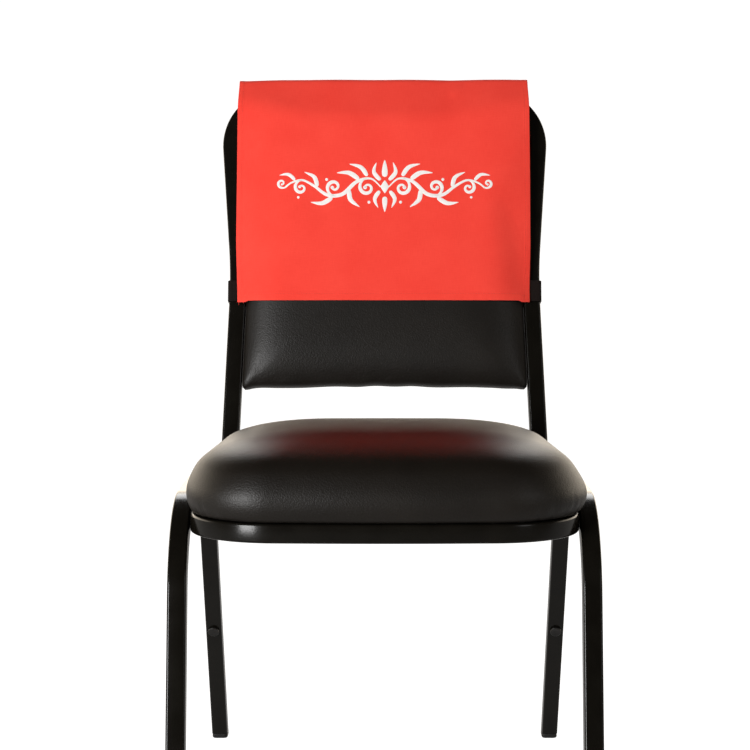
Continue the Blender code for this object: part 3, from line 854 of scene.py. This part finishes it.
def make_back_pad(material):
    outline = pad_outline()
    flat, faces = pad_points(outline, (0.0, PAD_MIDDLE_W), PAD_LEVELS, SHOULDER_X - TUBE)
    x, w, n = flat.T
    corner_x = max(point.x for point in outline if point.y < PAD_BOTTOM_W + PAD_CORNER_ZONE)
    away = np.hypot(np.abs(x) - corner_x, w - PAD_BOTTOM_W)
    n = relaxed(n, faces, smooth((n - RELAX_RIM_N) / RELAX_EASE))
    rim = smooth((PAD_RIM_N - n) / PAD_RIM_EASE)
    w = w - PAD_EAR_DROP * bell(away, PAD_EAR_SIZE) * rim
    under = smooth((PAD_BOTTOM_W + PAD_LOW_EDGE - w) / PAD_LOW_EASE) * rim
    w = w - PAD_EDGE_WAVE * under * (1.0 + ripple(x, *PAD_EDGE_RIPPLE))
    n = n + PAD_FACE_WAVE * under * ripple(x, *PAD_FACE_RIPPLE)
    pad = add_piece("back_pad.vinyl", sheet_point(x, w, n), faces, material)


# Pleats where the vinyl is gathered under the seat's corners: (side, front or rear, angles in degrees)
SEAT_PLEATS = [
    (1, -1, (24, 33, 41, 52, 63)),
    (-1, -1, (28, 38, 50, 60)),
    (1, 1, (25, 38, 52, 66)),
    (-1, 1, (22, 36, 49, 62)),
]
PLEAT_DEPTH = 0.0016
PLEAT_WIDTH = 0.0030
PLEAT_TOP = 0.034
PLEAT_RIDGE = 0.45
PLEAT_RIDGE_AWAY = 0.0042
# Shares of the corner's radius between which the pleats set in, and the place of their lower fade
PLEAT_RIM = (0.80, 0.92)
PLEAT_LOW = (-0.0006, 0.0014)


def add_pleats(points):
    """Draw the seat's skin in along short upright creases round its lower corners."""
    points = points.copy()
    height = points[:, 2] - SEAT_BASE_Z
    for side, end, angles in SEAT_PLEATS:
        radius = SEAT_FRONT_RADIUS if end < 0 else SEAT_REAR_RADIUS
        half = SEAT_HALF_WIDTH if end < 0 else SEAT_REAR_HALF
        edge_y = SEAT_FRONT_Y if end < 0 else SEAT_REAR_Y
        out = points[:, :2] - [side * (half - radius), edge_y - end * radius]
        distance = np.linalg.norm(out, axis=1)
        angle = np.arctan2(end * out[:, 1], side * out[:, 0])
        rim = smooth(distance / radius, *PLEAT_RIM)
        for index, degrees in enumerate(angles):
            top = PLEAT_TOP * (0.70 + 0.30 * math.sin(2.3 * index + side + end))
            fade = smooth(height, top, 0.0) * smooth(height, *PLEAT_LOW)
            along = (angle - math.radians(degrees)) * radius
            crease = bell(along, PLEAT_WIDTH) - PLEAT_RIDGE * bell(along - PLEAT_RIDGE_AWAY, PLEAT_WIDTH)
            depth = PLEAT_DEPTH * (0.75 + 0.25 * math.cos(1.7 * index))
            points[:, :2] -= (depth * rim * fade * crease / np.maximum(distance, 1e-6))[:, None] * out
    return points


def make_seat_cushion(material):
    outline = rounded_loop(mirrored([
        (0.0, SEAT_FRONT_Y, SEAT_BOW_RADIUS),
        (SEAT_HALF_WIDTH, SEAT_FRONT_Y + SEAT_FRONT_BOW, SEAT_FRONT_RADIUS),
        (SEAT_REAR_HALF, SEAT_REAR_Y - SEAT_REAR_BOW, SEAT_REAR_RADIUS),
        (0.0, SEAT_REAR_Y, SEAT_BOW_RADIUS),
    ]))
    levels = [(share, SEAT_BASE_Z + rise * (SEAT_CROWN_Z - SEAT_BASE_Z)) for share, rise in SEAT_LEVELS]
    points, faces = pad_points(outline, (0.0, SEAT_MIDDLE_Y), levels, SEAT_REAR_HALF)
    points = add_pleats(points)
    low = smooth(1.0 - np.abs(points[:, 2] - SEAT_BASE_Z - SEAT_FULLER_RISE) / SEAT_FULLER_REACH)
    points[:, 0] += SEAT_FULLER * low * smooth(points[:, 0], *SEAT_FULLER_X)
    cushion = add_piece("seat_cushion.vinyl", points, faces, material)


# Cover cloth

CLOTH_THICK = 0.0006
CLOTH_RISE = 0.0006
HEM_THICK = 0.0013
HEM_RISE = 0.0001
CLOTH_SPACING = 0.0030
FOLD_SPACING = 0.0012
FOLD_ZONE = 0.025
HEM_SPACING = 0.0006
HEM_ZONE = 0.0096
HEM_STEP = 0.0006
HEM_EASE = 0.0009
RIM_STEPS = 4
EDGE_INSET = 0.0010
RIM_BULGE = 0.6
SIDE_STITCH = 0.0055
BOTTOM_STITCH = 0.0078
GROOVE_WIDTH = 0.0006
GROOVE_DEPTH = 0.00022
SEAM_WIDTH = 0.0050
PUCKER_RISE = 0.00016
UNEVEN_RISE = 0.0004
UNEVEN_SCALE = (16.0, 11.0)
UNEVEN_LAYER = 4.7
NOISE_GAIN = 1.6
GROOVE_MARGIN = 0.001
FRONT_START = 0.010
FRONT_EASE = 0.020
# The front panel's soft folds: (x, w) of both ends, half width and height of each
SOFT_FOLDS = [
    ((-0.150, 0.250), (-0.085, 0.330), 0.016, 0.0007),
    ((-0.165, 0.300), (-0.140, 0.430), 0.012, 0.0006),
    ((0.120, 0.235), (0.070, 0.300), 0.018, 0.0007),
    ((0.166, 0.420), (0.120, 0.330), 0.014, 0.0006),
    ((0.083, 0.474), (0.092, 0.489), 0.006, 0.0011),
    ((-0.060, 0.300), (0.040, 0.285), 0.020, 0.0004),
]


def cover_half_width(w):
    """Half the cover's width at a height: a little less at the ridge and at the strapped bottom."""
    near_ridge = smooth(w, RIDGE_NARROW_START_W, COVER_RIDGE_W)
    near_bottom = smooth(w, BOTTOM_NARROW_START_W, COVER_BOTTOM_W)
    return COVER_HALF - COVER_RIDGE_NARROWER * near_ridge - COVER_BOTTOM_NARROWER * near_bottom


def ridge_height(x):
    """Where the top fold lies: nearly straight, with one slight dip and a low left end."""
    left_end = smooth(-x, RIDGE_LOW_START, COVER_HALF)
    dip = RIDGE_DIP_DEPTH * bell(x - RIDGE_DIP_X, RIDGE_DIP_WIDTH)
    return COVER_RIDGE_W + RIDGE_RISE * (1.0 - left_end) - dip


def valley_depth(x, w):
    """How far the shallow slanting fold on the right of the front lies below the panel."""
    (top_x, top_w), (bottom_x, bottom_w) = VALLEY_TOP, VALLEY_BOTTOM
    share = (top_w - w) / (top_w - bottom_w)
    line_x = top_x + (bottom_x - top_x) * np.clip(share, 0.0, 1.0)
    strength = smooth(share, -VALLEY_FADE, VALLEY_FADE) * smooth(share, 1.0, 1.0 - VALLEY_FADE)
    return VALLEY_DEPTH * strength * bell(x - line_x, VALLEY_WIDTH)


def cover_column(across):
    """The cloth's inner side over the chair back, as (w, n) points from the back hem to the front one."""
    reach = abs(across)
    pull = max(0.0, (reach * COVER_HALF - COVER_PULL_START) / (COVER_HALF - COVER_PULL_START)) ** 2
    tab = smooth((COVER_TAB_WIDTH - (1.0 - reach) * COVER_HALF) / COVER_TAB_EASE)
    bottom_w = COVER_BOTTOM_W + COVER_PULL_RISE * pull - COVER_TAB_DROP * tab
    ridge_w = ridge_height(COVER_OFFSET + across * COVER_HALF)
    crease_w = COVER_CREASE_W + COVER_CREASE_RISE * smooth(reach, CREASE_RISE_START)
    back_bottom = Vector((bottom_w, -COVER_EDGE_N))
    back_top = Vector((ridge_w, COVER_RIDGE_BACK_N))
    front_top = Vector((ridge_w, COVER_RIDGE_FRONT_N))
    crease = Vector((crease_w, COVER_FRONT_N - COVER_CREASE_DROP * reach ** 4))
    front_bottom = Vector((bottom_w, COVER_FRONT_N + (COVER_EDGE_N - COVER_FRONT_N) * pull))
    back_arc = fillet(back_bottom, back_top, front_top, BACK_FOLD_RADIUS, FOLD_STEPS)
    column = []
    for step in range(BACK_STEPS):
        share = step / BACK_STEPS
        bulge = Vector((0.0, BACK_BELLY * math.sin(math.pi * share)))
        column.append(back_bottom.lerp(back_arc[0], share) - bulge)
    column += back_arc + fillet(back_top, front_top, crease, RIDGE_FOLD_RADIUS, FOLD_STEPS)
    column += fillet(front_top, crease, front_bottom, CREASE_RADIUS, CREASE_STEPS)
    return np.array([tuple(point) for point in column + [front_bottom]])


def spaced(low, high, spacing):
    """Places from low to high, about a spacing apart."""
    return np.linspace(low, high, round((high - low) / spacing) + 1)


def row_places(length, fold):
    """Places along a cloth of a given length: close together at the hems and round the fold."""
    hem = np.arange(0.0, HEM_ZONE, HEM_SPACING)
    back = spaced(HEM_ZONE, fold - FOLD_ZONE, CLOTH_SPACING)
    over = spaced(fold - FOLD_ZONE, fold + FOLD_ZONE, FOLD_SPACING)
    front = spaced(fold + FOLD_ZONE, length - HEM_ZONE, CLOTH_SPACING)
    return np.concatenate([hem, back, over[1:], front[1:], (length - hem)[::-1]])


def column_places():
    """Places across the cloth: close together at the hems."""
    hem = np.arange(0.0, HEM_ZONE, HEM_SPACING)
    middle = spaced(HEM_ZONE - COVER_HALF, COVER_HALF - HEM_ZONE, CLOTH_SPACING)
    return np.concatenate([-COVER_HALF + hem, middle, (COVER_HALF - hem)[::-1]])


def pucker(run, seed):
    """An uneven ripple along a seam, from -1 to 1."""
    slow = np.sin(run / 0.0131 + 1.9 * seed + 1.3 * np.sin(run / 0.029 + seed))
    quick = np.sin(run / 0.0021 + 2.1 * np.sin(run / 0.0170 + 3.0 * seed))
    return (0.55 * quick + 0.45 * np.sin(run / 0.0034 + 1.7 * seed)) * (0.65 + 0.35 * slow)


def soft_folds(x, w):
    """The height of the panel's low listed ridges."""
    height = np.zeros_like(x)
    for start, end, width, rise in SOFT_FOLDS:
        along = np.subtract(end, start)
        length = np.linalg.norm(along)
        along = along / length
        run = (x - start[0]) * along[0] + (w - start[1]) * along[1]
        off = (x - start[0]) * along[1] - (w - start[1]) * along[0]
        fade = smooth((run + width) / (2 * width)) * smooth((length + width - run) / (2 * width))
        height += rise * fade * bell(off, width)
    return height


def slow_noise(u, v):
    """Smooth unevenness of a hung cloth, from about -1 to 1."""
    places = np.stack([u, v], -1).reshape(-1, 2) * UNEVEN_SCALE
    flat = [noise.noise(Vector((a, b, UNEVEN_LAYER))) for a, b in places]
    return np.array(flat).reshape(u.shape) * NOISE_GAIN


def surface_normals(points):
    """Unit normals of a grid of points, pointing away from the chair."""
    return unit(np.cross(np.gradient(points, axis=0), np.gradient(points, axis=1)))


class CoverSurface:
    """The cover's outer and inner sides as grids, rows from the back hem over the top to the front hem."""

    def __init__(self):
        self.u = column_places()
        columns = [cover_column(u / COVER_HALF) for u in self.u]
        runs = [run_along(column) for column in columns]
        self.length = float(np.mean([run[-1] for run in runs]))
        fold = COVER_RIDGE_W - COVER_BOTTOM_W + (COVER_RIDGE_FRONT_N - COVER_RIDGE_BACK_N) / 2
        self.v = row_places(self.length, fold)
        sides = [np.interp(self.v * run[-1] / self.length, run, side)
                 for run, column in zip(runs, columns) for side in column.T]
        w, n = np.stack(sides[::2], -1), np.stack(sides[1::2], -1)
        v, u = np.meshgrid(self.v, self.u, indexing="ij")
        x = COVER_OFFSET + u / COVER_HALF * (cover_half_width(w) - EDGE_INSET)
        front = smooth((v - fold - FRONT_START) / FRONT_EASE)
        base = sheet_point(x, w, n - front * valley_depth(x, w))
        normal = surface_normals(base)
        side = COVER_HALF - np.abs(u)
        end = np.minimum(v, self.length - v)
        in_hem = np.maximum(smooth((SIDE_HEM + HEM_STEP - side) / HEM_EASE),
                            smooth((BOTTOM_HEM + HEM_STEP - end) / HEM_EASE))
        groove = (bell(side - SIDE_STITCH, GROOVE_WIDTH) * (end > GROOVE_MARGIN)
                  + bell(end - BOTTOM_STITCH, GROOVE_WIDTH) * (side > GROOVE_MARGIN))
        seam = (bell(side - SIDE_STITCH, SEAM_WIDTH) * pucker(v, np.sign(u))
                + bell(end - BOTTOM_STITCH, SEAM_WIDTH) * pucker(u + 1.0, np.where(v > fold, 2.0, 3.0)))
        relief = PUCKER_RISE * seam - GROOVE_DEPTH * np.minimum(groove, 1.0)
        relief = relief + front * soft_folds(x, w) + UNEVEN_RISE * (1.0 + slow_noise(u, v))
        self.inner = base + normal * (relief + CLOTH_RISE + (HEM_RISE - CLOTH_RISE) * in_hem)[..., None]
        self.outer = self.inner + normal * (CLOTH_THICK + (HEM_THICK - CLOTH_THICK) * in_hem)[..., None]
        self.normal = surface_normals(self.outer)
        self.uv = np.stack([u, v], -1)

    def at(self, u, v):
        """Points and normals of the outer side at cloth places u, v, each an array."""
        column = np.interp(u, self.u, np.arange(len(self.u)))
        row = np.interp(v, self.v, np.arange(len(self.v)))
        c0 = np.clip(column.astype(int), 0, len(self.u) - 2)
        r0 = np.clip(row.astype(int), 0, len(self.v) - 2)
        cs = (column - c0)[..., None]
        rs = (row - r0)[..., None]

        def blend(grid):
            near = grid[r0, c0] * (1 - cs) + grid[r0, c0 + 1] * cs
            far = grid[r0 + 1, c0] * (1 - cs) + grid[r0 + 1, c0 + 1] * cs
            return near * (1 - rs) + far * rs

        return blend(self.outer), unit(blend(self.normal))


def make_cover(surface, material):
    """One closed cloth: both sides and a rounded edge between them."""
    rows, columns = surface.v.size, surface.u.size
    count = rows * columns
    points = [surface.outer.reshape(-1, 3), surface.inner.reshape(-1, 3)]
    uv = [surface.uv.reshape(-1, 2)] * 2
    faces = grid_faces(rows, columns) + grid_faces(rows, columns, first=count, flip=True)
    border = [(0, c) for c in range(columns)] + [(r, columns - 1) for r in range(1, rows)]
    border += [(rows - 1, c) for c in range(columns - 2, -1, -1)] + [(r, 0) for r in range(rows - 2, 0, -1)]
    turns = math.pi * np.arange(1, RIM_STEPS)[:, None] / RIM_STEPS
    numbers = []
    first = 2 * count
    for row, column in border:
        top, low = surface.outer[row, column], surface.inner[row, column]
        out = top - surface.outer[min(max(row, 1), rows - 2), min(max(column, 1), columns - 2)]
        normal = surface.normal[row, column]
        out = unit(out - normal * out.dot(normal))
        half = (top - low) / 2
        bulge = out * np.linalg.norm(half) * RIM_BULGE
        points.append((top + low) / 2 + half * np.cos(turns) + bulge * np.sin(turns))
        uv.append(np.repeat(surface.uv[row, column][None, :], RIM_STEPS - 1, axis=0))
        number = row * columns + column
        numbers.append([number, *range(first, first + RIM_STEPS - 1), count + number])
        first += RIM_STEPS - 1
    for near, far in zip(numbers, numbers[1:] + numbers[:1]):
        faces += [(near[step], near[step + 1], far[step + 1], far[step]) for step in range(RIM_STEPS)]
    return add_piece("cover.cloth", np.vstack(points), faces, material, uv=np.vstack(uv))


# Stitches and loose threads

THREAD = 0.00042
STITCH_PITCH = 0.0031
STITCH_LENGTH = 0.0024
STITCH_SIDES = 6
STITCH_MARGIN = 0.002
LOOSE_THICKNESS = 0.84
LOOSE_ENDS = (0.8, 0.5)
LOOSE_START = 0.6
# Share of a stitch's length, share of its thickness, and height over the cloth in thread thicknesses
STITCH_RINGS = [(0.0, 0.45, -0.55), (0.12, 0.9, -0.05), (0.35, 1.0, 0.22),
                (0.65, 1.0, 0.22), (0.88, 0.9, -0.05), (1.0, 0.45, -0.55)]
# Loose thread ends at the lower left corner: start along the hem, then steps (x, up, out), in millimetres
LOOSE_THREADS = [
    (2.6, [(-0.3, -1.1, 0.3), (-1.0, -2.2, 0.4), (-1.1, -3.4, 0.2), (-0.6, -4.2, 0.0)]),
    (6.5, [(0.3, -0.8, 0.3), (0.9, -1.5, 0.3), (1.1, -2.3, 0.2), (0.9, -2.9, 0.1)]),
]


def tube_rings(path, normals, radii):
    """Points round a path, one ring for each of its points."""
    along = unit(np.gradient(path, axis=0))
    across = unit(np.cross(along, normals))
    up = np.cross(across, along)
    angles = (np.arange(STITCH_SIDES) * math.tau / STITCH_SIDES)[None, :, None]
    spokes = np.cos(angles) * across[:, None, :] + np.sin(angles) * up[:, None, :]
    return path[:, None, :] + radii[:, None, None] * spokes


def tubes_mesh(tubes):
    """Points and faces of several capped tubes, each a grid of points with a row for each ring."""
    faces = []
    first = 0
    for rings in tubes:
        faces += tube_faces(*rings.shape[:2], first)
        first += rings.shape[0] * rings.shape[1]
    return np.vstack([rings.reshape(-1, 3) for rings in tubes]), faces


def stitch_line(surface, start, end):
    """Stitches along a straight line of the cloth from one (u, v) place to another."""
    start, end = np.array(start), np.array(end)
    length = np.linalg.norm(end - start)
    shares, widths, lifts = np.array(STITCH_RINGS).T
    made = []
    for index in range(int(length / STITCH_PITCH)):
        places = start + (end - start) * ((index * STITCH_PITCH + shares * STITCH_LENGTH) / length)[:, None]
        path, normals = surface.at(*places.T)
        made.append(tube_rings(path + normals * (lifts * THREAD)[:, None], normals, widths * THREAD / 2))
    return made


def loose_threads(surface):
    """Fine curved tubes that hang from the corner of the front hem."""
    up = np.array([0.0, math.sin(RECLINE), math.cos(RECLINE)])
    made = []
    for start, steps in LOOSE_THREADS:
        start_v = surface.length - LOOSE_START * MM
        points, normals = surface.at(np.array([start * MM - COVER_HALF]), np.array([start_v]))
        places = [points[0]]
        for x, rise, out in steps:
            places.append(points[0] + MM * (np.array([x, 0.0, 0.0]) + rise * up + out * normals[0]))
        path = curve(places, 6)
        radii = np.full(len(path), THREAD / 2 * LOOSE_THICKNESS)
        radii[-2:] *= LOOSE_ENDS
        made.append(tube_rings(path, np.broadcast_to(normals[0], path.shape), radii))
    return made


def make_stitches(surface, material):
    side_u = COVER_HALF - SIDE_STITCH
    end_u = COVER_HALF - STITCH_MARGIN
    tubes = []
    for u in (-side_u, side_u):
        tubes += stitch_line(surface, (u, STITCH_MARGIN), (u, surface.length - STITCH_MARGIN))
    for v in (BOTTOM_STITCH, surface.length - BOTTOM_STITCH):
        tubes += stitch_line(surface, (-end_u, v), (end_u, v))
    tubes += loose_threads(surface)
    points, faces = tubes_mesh(tubes)
    return add_piece("cover.stitches", points, faces, material, added=True)


# Printed scrolls

INK_RISE = 0.00012
INK_SINK = 0.00010
INK_SPACING = 0.00077
# Place across a stroke as a share of its width, height over the cloth
INK_SECTION = [(-0.5, -INK_SINK), (-0.47, INK_RISE * 0.7), (-0.25, INK_RISE), (0.0, INK_RISE),
               (0.25, INK_RISE), (0.47, INK_RISE * 0.7), (0.5, -INK_SINK)]
PRINT_MIDDLE_X = 0.0015
PRINT_MIDDLE_W = 0.3580
CURL_END = 0.24
CURL_STEPS = 90
CURL_DOT = 0.42
CURL_START_WIDTH = 2.0
CURL_END_WIDTH = 0.6
CURL_PEAK = 0.4
# The ornament's right half, in millimetres from its middle: the stem, leaves as (places, width), curls as
# (share of the stem, side, radius, turns, width) and dots as (x, w, size); turns below 0 wind clockwise
STEM = [(5, 0), (17, 10), (34, 6), (51, -9), (69, -10), (85, 1), (99, 8), (112, 5), (120, -1)]
STEM_WIDTHS = (1.6, 5.0, 2.2, 0.35)
LEAVES = [
    ([(31, 9), (43, 17), (58, 17)], 6.6),
    ([(21, 13), (29, 24), (43, 28)], 6.0),
    ([(63, -13), (75, -20), (89, -19)], 6.4),
    ([(43, -4), (41, -16), (30, -25)], 6.4),
    ([(81, 0), (85, 12), (97, 18)], 5.8),
    ([(108, 8), (116, 15), (127, 14)], 4.8),
    ([(5, 8), (13, 18), (10, 30)], 5.8),
    ([(6, -5), (12, -15), (8, -26)], 5.6),
]
CURLS = [(0.170, -1, 11.5, -1.20, 4.6), (0.440, 1, 11.0, 1.20, 4.6), (0.760, -1, 9.6, -1.15, 4.2),
         (0.990, 1, 6.6, 1.10, 3.4)]
DOTS = [(70.0, 9.0, 3.8), (19.0, -19.0, 3.8), (104.0, -13.0, 3.4)]
# Drops on the middle line: start, end and width
MIDDLE_DROPS = [(12.0, 33.0, 7.6), (-12.0, -31.0, 6.8)]
DIAMOND_REACH = 8.0
DIAMOND_WIDTH = 11.0


def curve(points, steps=60):
    return cubic_chain(np.array(points, float), steps, even_slopes)


def curl(stem, share, side, radius, turns):
    """A scroll that leaves a stem along its direction and winds in on one side."""
    index = int(share * (len(stem) - 1))
    along = unit(stem[index + 1] - stem[index - 1])
    spoke = side * np.array([along[1], -along[0]])
    shares = np.linspace(0.0, 1.0, CURL_STEPS)
    radii = (radius * CURL_END ** shares)[:, None]
    angles = math.atan2(spoke[1], spoke[0]) + math.tau * turns * shares
    return stem[index] - spoke * radius + radii * circle(angles)


def swelling(start, middle, end, peak):
    """Widths along a stroke: from start to middle at the peak share and on to end."""
    return lambda share: (start + (middle - start) * smooth(share / peak)
                          + (end - middle) * smooth((share - peak) / (1.0 - peak)))


def root(values):
    return np.sqrt(np.maximum(1e-4, values))


def drop(width):
    """Widths of a leaf or drop: round near its start, pointed at its end."""
    return lambda share: width * root(np.sin(math.pi * share ** 0.62) * (1.0 - share) ** 0.35)


def dot(centre, size):
    """A round spot as a short stroke."""
    reach = np.array([size / 2, 0.0])
    line = np.array([centre - reach, centre + reach])
    return line, lambda share: size * root(1.0 - (2.0 * share - 1.0) ** 2)


def scroll_strokes():
    """The ornament's right half and its middle, as (centre line, widths) in millimetres."""
    stem = curve(STEM)
    half = [(stem, swelling(*STEM_WIDTHS))]
    half += [(curve(places), drop(width)) for places, width in LEAVES]
    for share, side, radius, turns, width in CURLS:
        line = curl(stem, share, side, radius, turns)
        widths = swelling(CURL_START_WIDTH, width, width * CURL_END_WIDTH, CURL_PEAK)
        half += [(line, widths), dot(line[-1], radius * CURL_DOT)]
    half += [dot(np.array((x, w)), size) for x, w, size in DOTS]
    diamond = np.array([(0.0, -DIAMOND_REACH), (0.0, DIAMOND_REACH)])
    middle = [(diamond, lambda share: DIAMOND_WIDTH * (1.0 - np.abs(2 * share - 1)) ** 0.8 + 0.02)]
    middle += [(np.array([(0.0, start), (0.0, end)]), drop(width)) for start, end, width in MIDDLE_DROPS]
    return half, middle


def ink_stroke(surface, line, width, mirror):
    """Points and uv of a domed ribbon of ink along a line of the front panel, a row for each step."""
    path, places = even_path(line * MM, INK_SPACING)
    widths = width(places / places[-1]) * MM
    along = unit(np.gradient(path, axis=0))
    side = np.stack([along[:, 1], -along[:, 0]], -1)
    points, uv = [], []
    for offset, rise in INK_SECTION:
        spot = path + side * (widths * offset)[:, None]
        u = mirror * spot[:, 0] + PRINT_MIDDLE_X
        v = surface.length - (spot[:, 1] + PRINT_MIDDLE_W - COVER_BOTTOM_W)
        point, normal = surface.at(u, v)
        points.append(point + normal * rise)
        uv.append(np.stack([u, v], -1))
    return np.stack(points, 1), np.stack(uv, 1)


def make_print(surface, material):
    half, middle = scroll_strokes()
    strokes = [ink_stroke(surface, *stroke, mirror) for mirror in (-1, 1) for stroke in half]
    strokes += [ink_stroke(surface, *stroke, 1) for stroke in middle]
    points, faces = tubes_mesh([points for points, _ in strokes])
    uv = np.vstack([uv.reshape(-1, 2) for _, uv in strokes])
    return add_piece("cover.print", points, faces, material, added=True, uv=uv)


# Straps

STRAP_RIBS = 20
RIB_DEPTH = 0.00022
RIB_POINTS = 4
STRAP_SPACING = 0.0012
SELVEDGE = 0.02
SELVEDGE_THICKNESS = 0.45
STRAP_NIP = 0.012


def upright_x(w):
    """The middle of the right upright at a run up the back."""
    loop = frame_loop()
    for start, end in zip(loop, loop[1:]):
        if start.x > 0.0 and start.y <= w < end.y:
            return start.lerp(end, (w - start.y) / (end.y - start.y)).x
    raise ValueError("no upright at this run")


def make_strap(word, side, material):
    """A ribbed band from the front panel's hem, round the outside of an upright, to the back panel's hem."""
    middle_w = COVER_BOTTOM_W + STRAP_RAISE + STRAP_WIDTH / 2
    side_x = upright_x(middle_w) + TUBE / 2 + STRAP_SIDE_GAP + STRAP_THICK / 2
    panel_n = COVER_EDGE_N - GAP - STRAP_THICK / 2
    corners = [(STRAP_END_X, panel_n + STRAP_END_RISE), (COVER_HALF - COVER_BOTTOM_NARROWER, panel_n),
               (side_x, panel_n), (side_x, -panel_n), (STRAP_END_X, -panel_n)]
    path, run = even_path(bent_line(corners, STRAP_CORNER, 10), STRAP_SPACING)
    count = STRAP_RIBS * RIB_POINTS
    shares = np.arange(count + 1) / count
    ribs = RIB_DEPTH * np.abs(np.sin(math.pi * STRAP_RIBS * shares))
    selvedge = smooth(np.minimum(shares, 1.0 - shares) / SELVEDGE)
    half = (STRAP_THICK / 2 - RIB_DEPTH + ribs) * (SELVEDGE_THICKNESS + (1.0 - SELVEDGE_THICKNESS) * selvedge)
    section = np.concatenate([np.stack([shares, half], -1), np.stack([shares, -half], -1)[::-1]])
    nip = 1.0 - STRAP_NIP * np.sin(math.pi * run / run[-1])
    places = path[:, None, :] + section[None, :, 1:] * path_sides(path, closed=False)[:, None, :]
    w = middle_w + (section[None, :, 0] - 0.5) * STRAP_WIDTH * nip[:, None]
    points = sheet_point(side * places[..., 0], w, places[..., 1])
    uv = np.stack(np.broadcast_arrays(section[None, :, 0] * STRAP_WIDTH, run[:, None]), -1)
    add_piece(f"strap_{word}.elastic", points, None, material, uv=uv, sharp_angle=70.0)


# Floor and light

FLOOR_SIZE = 60.0
FLOOR_COLOUR = (0.32, 0.32, 0.32)
FLOOR_SEEN_GLOW = 1.0
FLOOR_NEAR_GLOW = 0.26
FLOOR_FAR_GLOW = 0.02
SWEEP_START = -0.2
SWEEP_END = -1.3
BACKDROP = 1.05
BACKDROP_GLOW = 3.2
SOFT_GLOW = 0.24
BACKDROP_TINT = (1.0, 0.88, 0.72, 1.0)
CEILING = 0.062
BACKDROP_SIDE = (-0.10, 0.45)
BACKDROP_TOP = (0.252, 0.588)
# Name, place, what it points at, size, power
LIGHTS = [
    ("key", (-2.0, -2.5, 0.50), (0.0, 0.0, 0.55), (1.0, 1.5), 120.0),
    ("fill", (2.4, -2.6, 1.2), (0.0, 0.0, 0.55), (0.9, 1.6), 12.0),
    ("rear", (0.0, 1.6, 1.5), (0.0, 0.1, 0.8), (1.6, 0.6), 14.0),
]


def make_floor():
    """A pale floor that looks white, and that lights the chair more from near it than from far in front."""
    mesh = bpy.data.meshes.new("floor")
    corners = [(x * FLOOR_SIZE, y * FLOOR_SIZE, 0.0) for x, y in ((-1, -1), (1, -1), (1, 1), (-1, 1))]
    mesh.from_pydata(corners, [], [(0, 1, 2, 3)])
    nodes = Material("pale_floor", FLOOR_COLOUR, roughness=0.9, specular=0.0)
    nodes.put(WHITE, nodes.shader, "Emission Color")
    away = nodes.split(nodes.place())["Y"]
    sweep = nodes.span(away, SWEEP_END, SWEEP_START, FLOOR_FAR_GLOW, FLOOR_NEAR_GLOW)
    seen = nodes.add("ShaderNodeLightPath").outputs["Is Camera Ray"]
    nodes.put(nodes.mix(seen, sweep, FLOOR_SEEN_GLOW), nodes.shader, "Emission Strength")
    mesh.materials.append(nodes.material)
    add_object("floor", mesh)


def make_world():
    """A white studio: bright behind and around, darker above and on the camera's side."""
    world = bpy.data.worlds.new("studio")
    nodes = Tree(world)
    place = nodes.split(nodes.add("ShaderNodeTexCoord").outputs["Generated"])
    behind = nodes.span(place["Y"], *BACKDROP_SIDE, 0.0, 1.0)
    low = nodes.span(place["Z"], *BACKDROP_TOP, 1.0, 0.0)
    glow = nodes.span(nodes.math("MULTIPLY", behind, low), 0.0, 1.0, CEILING, BACKDROP_GLOW)
    rays = nodes.add("ShaderNodeLightPath").outputs
    strength = nodes.mix(rays["Is Camera Ray"], nodes.mix(rays["Is Diffuse Ray"], glow, SOFT_GLOW), BACKDROP)
    shine = nodes.tree.nodes["Background"]
    nodes.put(nodes.mix(rays["Is Camera Ray"], BACKDROP_TINT, WHITE, "RGBA"), shine, "Color")
    nodes.put(strength, shine, "Strength")
    bpy.context.scene.world = world


def make_lights():
    for name, place, target, size, power in LIGHTS:
        light = bpy.data.lights.new(name, "AREA")
        light.shape = "RECTANGLE"
        light.size, light.size_y = size
        light.energy = power
        holder = add_object(name, light)
        holder.location = place
        holder.rotation_euler = (Vector(target) - Vector(place)).to_track_quat("-Z", "Y").to_euler()


def main():
    make_camera()
    make_floor()
    make_world()
    make_lights()
    bpy.context.scene.view_settings.view_transform = "Standard"
    enamel = black_enamel()
    vinyl = black_vinyl()
    elastic = black_elastic()
    foot_plastic = black_plastic("foot_plastic", 0.48)
    button_plastic = black_plastic("button_plastic", 0.34)
    make_back_and_seat_tube(enamel)
    make_back_pad(vinyl)
    make_seat_cushion(vinyl)
    for word, side in (("left", -1), ("right", 1)):
        make_leg_frame(word, side, enamel)
        make_foot(f"foot_front_{word}", side, -FOOT_Y, foot_plastic)
        make_foot(f"foot_rear_{word}", side, FOOT_Y, foot_plastic)
        make_button(word, side, button_plastic)
        make_strap(word, side, elastic)
    surface = CoverSurface()
    cover = make_cover(surface, red_cloth())
    stitches = make_stitches(surface, red_thread())
    ink = make_print(surface, white_print())


main()
